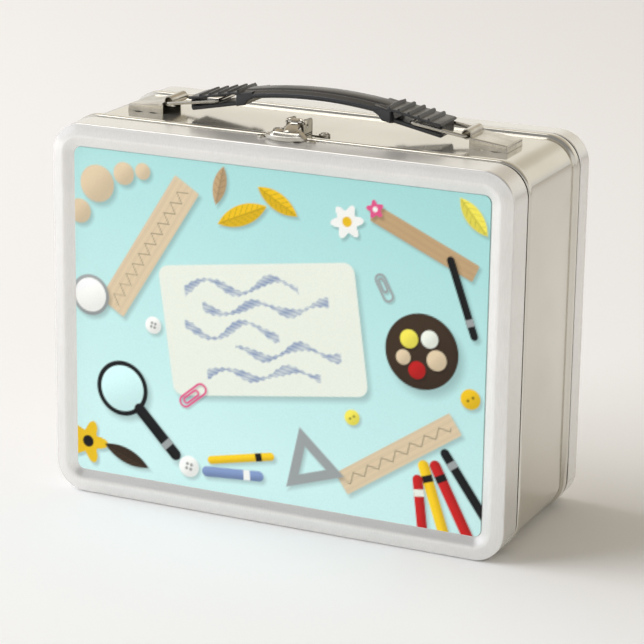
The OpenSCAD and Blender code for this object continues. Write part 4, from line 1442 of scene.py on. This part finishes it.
    def build(self) -> None:
        """Makes the grip as one object."""
        ends = [self.lower(), self.stop()]
        whole = joined([self.upper(), *ends, *(e.mirrored_x() for e in ends)]).moved(z=self.sizes.top)
        how = Make("grip", Slot.PLASTIC, sharp=ROUND_EDGE)
        make_piece("grip", whole, how, self.plastic, ["handle_grip"], weld=FINE_WELD)


# ---- Latch --------------------------------------------------------------------


@dataclass
class Latch:
    """The lift latch: base plate, pierced box, pin, lever, strike plate and rivets.

    Depths count back from the covers' edge plane, and heights are above the band's top wall.
    """

    sizes: CaseSizes
    nickel: bpy.types.Material
    # A darker copy of the nickel: painted shade for the box's walls under the lever.
    shaded_nickel: bpy.types.Material
    x: float = -1.0
    pin_depth: float = 23.2
    pin_up: float = 7.0
    barrel: float = 1.6
    barrel_half: float = 3.2
    strap_half: float = 1.7
    lever_sheet: float = 0.3
    nose_half: float = 3.8
    nose_back: float = 20.6
    pad_depth: float = 12.6
    pad_half: tuple[float, float] = (10.2, 4.8)
    pad_up: float = 2.35
    wing: float = 2.3
    lip_rise: float = 0.7
    skirt: float = 1.5
    dish: float = 0.7
    box_half: float = 4.3
    box_front: float = 21.6
    box_back: float = 31.0
    box_up: float = 8.25
    box_sheet: float = 0.7
    base: float = 0.8
    ear: tuple[float, float, float] = (11.1, 28.8, 2.6)
    front_lobe: tuple[float, float, float] = (11.4, 19.4, 2.1)
    strike: float = 0.45
    lobe: tuple[float, float, float] = (11.7, 13.0, 2.2)
    strike_span: tuple[float, float] = (8.8, 15.2)
    strike_half: float = 5.5

    def place(self, shell: Shell, up: float | None = None) -> Shell:
        """Moves a shell drawn in (x, depth, height) to the latch's place."""
        return shell.moved(self.x, self.sizes.edge, self.sizes.top if up is None else up)

    def scalloped(self, lobes: Sequence[tuple[float, float, float]], half: float, span: tuple[float, float],
                  middle: float) -> Array:
        """Outline of a plate with round lobes on both sides.

        Along each ray from the middle, the outline is the farthest of the lobes' circles, their bridges' edges
        and the central rectangle.

        Args:
            lobes: Distance from the middle, depth and radius of each pair of lobes.
            half: Half width of the central rectangle.
            span: First and last depth of the central rectangle.
            middle: Depth of the rays' start.

        Returns:
            Points of (x, depth).
        """
        angle = np.linspace(0, 2 * np.pi, 360, endpoint=False)
        ray = np.column_stack([np.cos(angle), np.sin(angle)])
        side = np.maximum(np.abs(ray), 1e-9)
        deep = np.where(ray[:, 1] > 0, span[1] - middle, middle - span[0])
        far = np.minimum(half / side[:, 0], deep / side[:, 1])
        for reach, depth, radius in lobes:
            for s in (-1, 1):
                c = np.array([s * reach, depth - middle])
                along, off = ray @ c, np.abs(ray[:, 0] * c[1] - ray[:, 1] * c[0])
                hit = along + np.sqrt(np.clip(radius**2 - off**2, 0, None))
                far = np.maximum(far, np.where((off < radius) & (along > 0), hit, 0.0))
        return np.array([0.0, middle]) + far[:, None] * ray

    def rivet(self, x: float, depth: float, up: float) -> Shell:
        """A domed rivet head with a dimple in its middle."""
        return lathe([1.5, 1.5, 1.36, 1.05, 0.7, 0.52, 0.3, 0.05], [0, 0.3, 0.5, 0.62, 0.66, 0.6, 0.34, 0.3],
                     (x, depth, up))

    def ring(self, x: float, depth: float, up: float, radius: float) -> Shell:
        """A raised rolled ring round a rivet."""
        a = np.linspace(0, 2 * np.pi, 40, endpoint=False)
        path = np.column_stack([x + radius * np.cos(a), depth + radius * np.sin(a), np.full_like(a, up)])
        return rod(path, 0.5, closed=True, around=12)

    def build_base(self) -> None:
        """Base plate with its ears, and the box on it."""
        ex, ed, er = self.ear
        fx, fd, fr = self.front_lobe
        front = fd - fr
        outline = self.scalloped([self.ear, self.front_lobe], self.box_half + 2.0, (front, self.box_back), 26.5)
        rings = [self.ring(s * ex, ed, self.base + 0.45, er - 0.5) for s in (-1, 1)]
        rings += [self.ring(s * fx, fd, self.base + 0.25, fr - 0.5) for s in (-1, 1)]
        make_piece("latch_base", self.place(joined([plate(outline, 0.3, self.base + 0.3), *rings])),
                   Make("case", Slot.NICKEL, sharp=PLATED_EDGE), self.nickel, ["latch_base_plate"], weld=FINE_WELD)
        heads = joined([self.rivet(s * ex, ed, self.base + 0.3) for s in (-1, 1)])
        make_piece("latch_base_rivet_heads", self.place(heads), Make("case", Slot.NICKEL, sharp=PLATED_EDGE),
                   self.nickel)
        self.build_box()

    def build_box(self) -> None:
        """The box: two cheeks with clipped corners and pierced holes, a low back wall and a floor."""
        f, b, t = self.box_front, self.box_back, self.box_up
        cheek = np.array([[f, self.base], [f, t - 1.3], [f + 0.5, t - 0.5], [f + 1.6, t], [b - 1.3, t - 0.35],
                          [b - 0.4, t - 0.8], [b, t - 1.6], [b, self.base]])
        hole = (self.pin_depth + 2.4, self.pin_up - 2.0)
        cheeks = [self.pierced(cheek, hole, 0.85, s * self.box_half) for s in (-1, 1)]
        h, low, inner = self.box_half, self.base, b - 0.3
        back = np.array([[-h, inner, low], [-h, inner, 5.6], [h, inner, 5.6], [h, inner, low]])
        back_face = Shell(back, np.arange(4), np.array([4]))
        up = low + 0.35
        floor = np.array([[-h, f + 0.6, up], [h, f + 0.6, up], [h, inner, up], [-h, inner, up]])
        floor_face = Shell(floor, np.arange(4), np.array([4]))
        inside = (0.0, 0.5 * (f + b), 4.0)
        parts = [facing_away(p, inside) for p in (*cheeks, back_face, floor_face)]
        # The walls take the darker copy of the nickel, which paints the shade inside the latch box.
        make_piece("latch_box_walls", self.place(joined(parts)),
                   Make("case", Slot.NICKEL, Finish.SHEET, self.box_sheet, PLATED_EDGE), self.shaded_nickel, ["latch_box"])
        pd, pu = self.pin_depth, self.pin_up
        ends = [np.array([[s * 4.2, pd, pu], [s * 4.75, pd, pu]]) for s in (-1, 1)]
        pins = [rod(np.array([[-4.4, pd, pu], [4.4, pd, pu]]), 0.68, around=16)]
        pins += [rod(e, 1.05, around=20) for e in ends]
        make_piece("latch_pin_rod", self.place(joined(pins)), Make("case", Slot.NICKEL, Finish.SOLID, 0.12, PLATED_EDGE),
                   self.nickel, ["latch_pin"], weld=FINE_WELD)

    def pierced(self, outline: Array, hole: tuple[float, float], radius: float, x: float) -> Shell:
        """A flat sheet in the plane x with a round hole: rings of points from the hole to the outline.

        Each ray from the hole's middle meets the outline at its nearest crossing.
        """
        centre = np.array(hole)
        angle = np.linspace(0, 2 * np.pi, 72, endpoint=False)
        ray = np.column_stack([np.cos(angle), np.sin(angle)])
        a, b = outline, np.roll(outline, -1, 0)
        side = b - a
        to = a - centre
        cross = ray[:, 0, None] * side[None, :, 1] - ray[:, 1, None] * side[None, :, 0]
        safe = np.where(np.abs(cross) < 1e-9, 1e-9, cross)
        t = (to[None, :, 0] * side[None, :, 1] - to[None, :, 1] * side[None, :, 0]) / safe
        s = (to[None, :, 0] * ray[:, 1, None] - to[None, :, 1] * ray[:, 0, None]) / safe
        far = np.where((t > 0) & (s >= -1e-6) & (s <= 1 + 1e-6), t, 1e9).min(axis=1)
        steps = np.array([0.0, 0.15, 0.5, 1.0])
        reach = radius + (far[:, None] - radius) * steps
        flat = centre + reach[..., None] * ray[:, None]
        points = np.stack([np.full(flat.shape[:2], x), flat[..., 0], flat[..., 1]], axis=-1)
        return grid(points, wrap_u=True)

    def strap(self) -> Shell:
        """The rolled barrel and the narrow strap that runs from it to the nose."""
        d, u, r = self.pin_depth, self.pin_up, self.barrel
        roll = arc(d, u, r, 300, 100, 26)
        fall = np.array([[d - 1.0, u + 1.15], [d - 1.7, u + 0.1], [d - 2.3, u - 0.9], [d - 3.2, u - 1.5],
                         [d - 4.4, u - 1.65]])
        line = np.concatenate([roll, fall])
        half = np.where(np.arange(len(line)) < len(roll), self.barrel_half, self.strap_half)
        across = np.linspace(-1, 1, 5)
        deep = np.broadcast_to(line[:, :1], (len(line), 5))
        high = np.broadcast_to(line[:, 1:], (len(line), 5))
        return grid(np.stack([half[:, None] * across, deep, high], axis=-1))

    def nose(self) -> Shell:
        """The nose: a block with cut corners, whose front slopes down to the pad and whose top rises to the back.

        Each level is the plan scaled to its half width and depth, and the last one closes the top.
        """
        up = np.array([3.2, 3.7, 4.15, 4.6, 5.0, 5.4, 5.7, 5.95, 6.5])
        front = np.array([13.0, 13.1, 13.3, 13.8, 14.4, 15.1, 15.9, 17.0, 20.0])
        half = self.nose_half - np.array([0.0, 0.02, 0.06, 0.12, 0.25, 0.45, 0.75, 1.1, 1.6])
        left = np.array([[-1.0, 0.95], [-1.0, 0.6], [-0.97, 0.5], [-0.9, 0.42], [-0.42, 0.06], [-0.34, 0.02],
                         [-0.24, 0.0]])
        plan = np.concatenate([left, left[::-1] * np.array([-1.0, 1.0])])
        x = half[:, None] * plan[:, 0]
        y = front[:, None] + (self.nose_back - front[:, None]) * plan[:, 1] * 0.9
        sides = np.stack([x, y, np.broadcast_to(up[:, None], x.shape)], axis=-1)
        rear = np.full_like(half, self.nose_back)
        back = np.stack([np.stack([half * s, rear, up], axis=-1) for s in (1, -1)], axis=1)
        rings = np.concatenate([sides, back], axis=1)
        body = grid(rings, wrap_v=True)
        count = rings.shape[1]
        return capped(body, (len(up) - 1) * count + np.arange(count))

    def pad(self) -> Shell:
        """The pointed oval thumb pad, dished, with its front rim turned up.

        The oval lies between two arcs. Its height is pad_up - dish x (1 - r^3), plus the lip at the front rim,
        plus the wings that rise to the nose. The rim turns down in a skirt at the front.
        """
        hx, hy = self.pad_half
        radius = (hx**2 + hy**2) / (2 * hy)
        turn = math.asin(hx / radius)
        a = np.linspace(-turn, turn, 49)[:-1]
        front = np.column_stack([radius * np.sin(a), radius - hy - radius * np.cos(a)])
        rim = np.concatenate([front, -front])
        r = np.linspace(0.0, 1.0, 31)[1:, None]
        ahead = smooth(-rim[:, 1] / hy, 0.0, 0.55)[None, :]
        x, y = r * rim[None, :, 0], self.pad_depth + r * rim[None, :, 1]
        high = self.pad_up - self.dish * (1 - r**3) + self.lip_rise * smooth(r, 0.72, 1.0) * ahead
        wing = smooth(y, self.pad_depth - 1.4, self.pad_depth + 1.0) * smooth(hx - np.abs(x), 0.0, 4.5)
        high = high + self.wing * wing
        turned = np.array([[0.12, 0.25], [0.26, 0.6], [0.34, 1.0]])
        x = np.concatenate([x, x[-1] + turned[:, :1] * rim[:, 0] / hx])
        y = np.concatenate([y, y[-1] + turned[:, :1] * rim[:, 1] / hy])
        high = np.concatenate([high, high[-1] - turned[:, 1:] * (0.15 + ahead * (self.skirt - 0.15))])
        body = grid(np.stack([x, y, high], axis=-1), wrap_v=True)
        return capped(body, np.arange(rim.shape[0])[::-1])

    def build_lever(self) -> None:
        """Makes the lever's sheets and its nose."""
        how = Make("lever", Slot.NICKEL, Finish.SHEET, self.lever_sheet, ROUND_EDGE)
        strap = facing_away(self.strap(), (0.0, self.pin_depth, self.pin_up))
        make_piece("latch_lever_strap", self.place(strap), how, self.nickel, ["latch_lever"])
        pad = facing_away(self.pad(), (0.0, self.pad_depth, -5.0))
        make_piece("latch_lever_pad", self.place(pad), how, self.nickel)
        make_piece("latch_lever_nose", self.place(facing_away(self.nose(), (0.0, 18.0, 3.0))),
                   Make("lever", Slot.NICKEL, sharp=50.0), self.nickel)

    def build_strike(self) -> None:
        """Strike plate with lobed ends on the cover, its detent and its rivets."""
        lx, ld, lr = self.lobe
        lo, hi = self.strike_span
        up = self.sizes.height
        outline = self.scalloped([self.lobe], self.strike_half, (lo, hi), ld)
        detent = lathe([2.2, 1.9, 1.5, 1.2], [0.0, 0.06, 0.1, 0.12], (0.0, 0.5 * (lo + hi), self.strike - 0.01))
        rings = [self.ring(s * lx, ld, self.strike - 0.05, lr - 0.45) for s in (-1, 1)]
        make_piece("strike", self.place(joined([plate(outline, 0.0, self.strike), detent, *rings]), up),
                   Make("cover", Slot.NICKEL, sharp=PLATED_EDGE), self.nickel, ["strike_plate"], weld=FINE_WELD)
        heads = joined([self.rivet(s * lx, ld, self.strike) for s in (-1, 1)])
        make_piece("strike_rivet_heads", self.place(heads, up), Make("cover", Slot.NICKEL, sharp=PLATED_EDGE),
                   self.nickel)

    def build(self) -> None:
        """Makes the whole latch."""
        self.build_base()
        self.build_lever()
        self.build_strike()


# ---- Studio -------------------------------------------------------------------


@dataclass(frozen=True)
class SoftLight:
    """A rectangular area light.

    Attributes:
        name: Its name.
        spot: Where it is, in metres.
        size: Its width and height in metres.
        power: Its power in watts.
        colour: Its linear colour.
        mirrored: Whether the metal mirrors it; the window's mirror image is the surroundings' soft glow instead.
    """

    name: str
    spot: tuple[float, float, float]
    size: tuple[float, float]
    power: float
    colour: tuple[float, float, float] = (1.0, 1.0, 1.0)
    mirrored: bool = True

    def build(self) -> None:
        """Makes the light, aimed at the case."""
        data = bpy.data.lights.new(self.name, "AREA")
        data.shape, (data.size, data.size_y) = "RECTANGLE", self.size
        data.energy, data.color = self.power, self.colour
        lamp = linked(self.name, data)
        lamp.location = self.spot
        lamp.visible_glossy = self.mirrored
        lamp.rotation_euler = (Vector((0.0, 0.0, 0.09)) - Vector(self.spot)).to_track_quat("-Z", "Y").to_euler()


@dataclass
class Studio:
    """Floor, lights, surroundings and camera."""

    spot: tuple[float, float, float] = (0.49228, -1.07102, 0.43207)
    azimuth: float = 24.594
    elevation: float = 16.519
    roll: float = 0.823
    focal: float = 2712.6
    frame: float = 644.0
    horizon: tuple[float, float, float] = (0.78, 0.77, 0.74)
    front_low: tuple[float, float, float] = (0.80, 0.79, 0.77)
    front_high: tuple[float, float, float] = (0.27, 0.268, 0.262)
    back_low: tuple[float, float, float] = (0.95, 0.91, 0.82)
    back_high: tuple[float, float, float] = (0.56, 0.49, 0.38)
    glow: tuple[float, float, float] = (1.02, 1.03, 1.06)
    glow_side: tuple[float, float, float] = (-0.86, -0.27, 0.43)
    lights: tuple[SoftLight, ...] = (
        SoftLight("window", (-3.45, -1.06, 1.72), (4.8, 1.9), 170.0, (0.95, 0.98, 1.05), mirrored=False),
        SoftLight("overhead", (-1.26, -0.51, 2.67), (1.4, 1.1), 11.0, (1.0, 0.99, 0.98)),
    )

    def build_camera(self) -> None:
        """The camera: its axes from azimuth, elevation and roll, its lens from the focal length in pixels."""
        az, el, roll = (math.radians(a) for a in (self.azimuth, self.elevation, self.roll))
        ahead = Vector((-math.sin(az) * math.cos(el), math.cos(az) * math.cos(el), -math.sin(el)))
        right = Vector((math.cos(az), math.sin(az), 0.0))
        up = right.cross(ahead)
        r = math.cos(roll) * right + math.sin(roll) * up
        u = -math.sin(roll) * right + math.cos(roll) * up
        data = bpy.data.cameras.new("camera")
        data.sensor_width = SENSOR
        data.lens = data.sensor_width * self.focal / self.frame
        data.clip_start, data.clip_end = 0.05, 60.0
        camera = linked("camera", data)
        camera.matrix_world = Matrix.Translation(Vector(self.spot)) @ Matrix((r, u, -ahead)).transposed().to_4x4()
        bpy.context.scene.camera = camera

    def build_floor(self) -> None:
        """A large flat floor."""
        x = np.linspace(-FLOOR_HALF, FLOOR_HALF, FLOOR_LINES)
        points = np.stack([*np.meshgrid(x, x, indexing="ij"), np.zeros((len(x), len(x)))], axis=-1)
        shell = grid(points)
        mesh = bpy.data.meshes.new("floor")
        mesh.from_pydata(shell.points.tolist(), [], shell.corners.reshape(-1, 4).tolist())
        mesh.polygons.foreach_set("use_smooth", np.ones(len(mesh.polygons), bool))
        mesh.materials.append(FloorFinish().build())
        linked("floor", mesh)

    def build_world(self) -> None:
        """Even surroundings: warm and bright low behind the object, greyer ahead and higher up, and a side glow."""
        world = bpy.data.worlds.new("studio")
        bpy.context.scene.world = world
        world.use_nodes = True
        net = Net(world.node_tree)
        back = world.node_tree.nodes["Background"]
        direction = net.add("ShaderNodeTexCoord").outputs["Generated"]
        parts = net.add("ShaderNodeSeparateXYZ", {0: direction}).outputs
        behind = net.remap(parts[1], -0.5, 0.5)
        low = net.mix(behind, opaque(self.front_low), opaque(self.back_low))
        low = net.mix(net.remap(parts[2], 0.0, 0.16), opaque(self.horizon), low)
        high = net.mix(behind, opaque(self.front_high), opaque(self.back_high))
        rise = net.remap(parts[2], net.remap(behind, 0.0, 1.0, 0.22, 0.32), net.remap(behind, 0.0, 1.0, 0.52, 0.46))
        toward = net.add("ShaderNodeVectorMath", {0: direction, 1: self.glow_side},
                         operation="DOT_PRODUCT").outputs["Value"]
        soft = net.remap(toward, 0.78, 0.97)
        net.tree.links.new(net.mix(soft, net.mix(rise, low, high), opaque(self.glow)), back.inputs[0])
        back.inputs[1].default_value = 1.0

    def build(self) -> None:
        """Builds all of it, and sets a plain view transform."""
        self.build_floor()
        self.build_world()
        for light in self.lights:
            light.build()
        self.build_camera()
        bpy.context.scene.view_settings.view_transform = "Standard"


# ---- Assembly -----------------------------------------------------------------


def dress_kept_nodes(frame: dict, nickel: bpy.types.Material) -> None:
    """Gives the CAD nodes that stay in view their plated finish.

    Args:
        nickel: The material.
    """
    kept = ("body_hinge_leaf_left", "body_hinge_leaf_right", "cover_hinge_leaf_left", "cover_hinge_leaf_right",
            "hinge_pin_left", "hinge_pin_right", "hinge_rivets", "latch_base_rivets", "strike_rivets")
    for name in kept:
        node = frame["nodes"][name]
        node.data.materials.clear()
        node.data.materials.append(nickel)
        LOG.info("%s: CAD node with plated finish", name)


def main() -> None:
    """Builds every sub-assembly round the frame, then the studio."""
    logging.basicConfig(level=logging.INFO, format="%(name)s: %(message)s")
    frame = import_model()
    sheet_grain_group()
    moulded_group()
    tin = MetalFinish("band_tin", (0.73, 0.705, 0.645), (0.69, 0.665, 0.60), (0.07, 0.13), grain=1.6,
                      metallic=0.88).build()
    satin = MetalFinish("cover_tin", (0.86, 0.85, 0.83), (0.82, 0.81, 0.79), (0.17, 0.23), stretch=(1.0, 1.0, 0.08),
                        grain=0.5, streak=0.26, metallic=0.63).build()
    nickel = MetalFinish("nickel_plate", (0.68, 0.65, 0.59), (0.50, 0.475, 0.42), (0.10, 0.20),
                         stretch=(1.0, 0.08, 1.0), grain=1.6, cloud=90.0).build()
    # A darker copy of the nickel plate, painted shade for the latch box's cheeks, back wall and floor.
    shaded_nickel = MetalFinish("shaded_plate", (0.50, 0.475, 0.42), (0.38, 0.36, 0.315), (0.14, 0.22), grain=1.6,
                       cloud=120.0).build()
    plastic = PlasticFinish().build()
    ink = PrintFinish().build()
    sizes = CaseSizes.from_frame()
    Covers(sizes, satin).build()
    PrintedFace(sizes, ink).build()
    Band(sizes, tin).build()
    HandleBrackets(sizes, nickel).build()
    HandleLinks(sizes, nickel).build()
    Grip(sizes, plastic).build()
    Latch(sizes, nickel, shaded_nickel).build()
    dress_kept_nodes(frame, nickel)
    Studio().build()


if __name__ == "__main__":
    main()
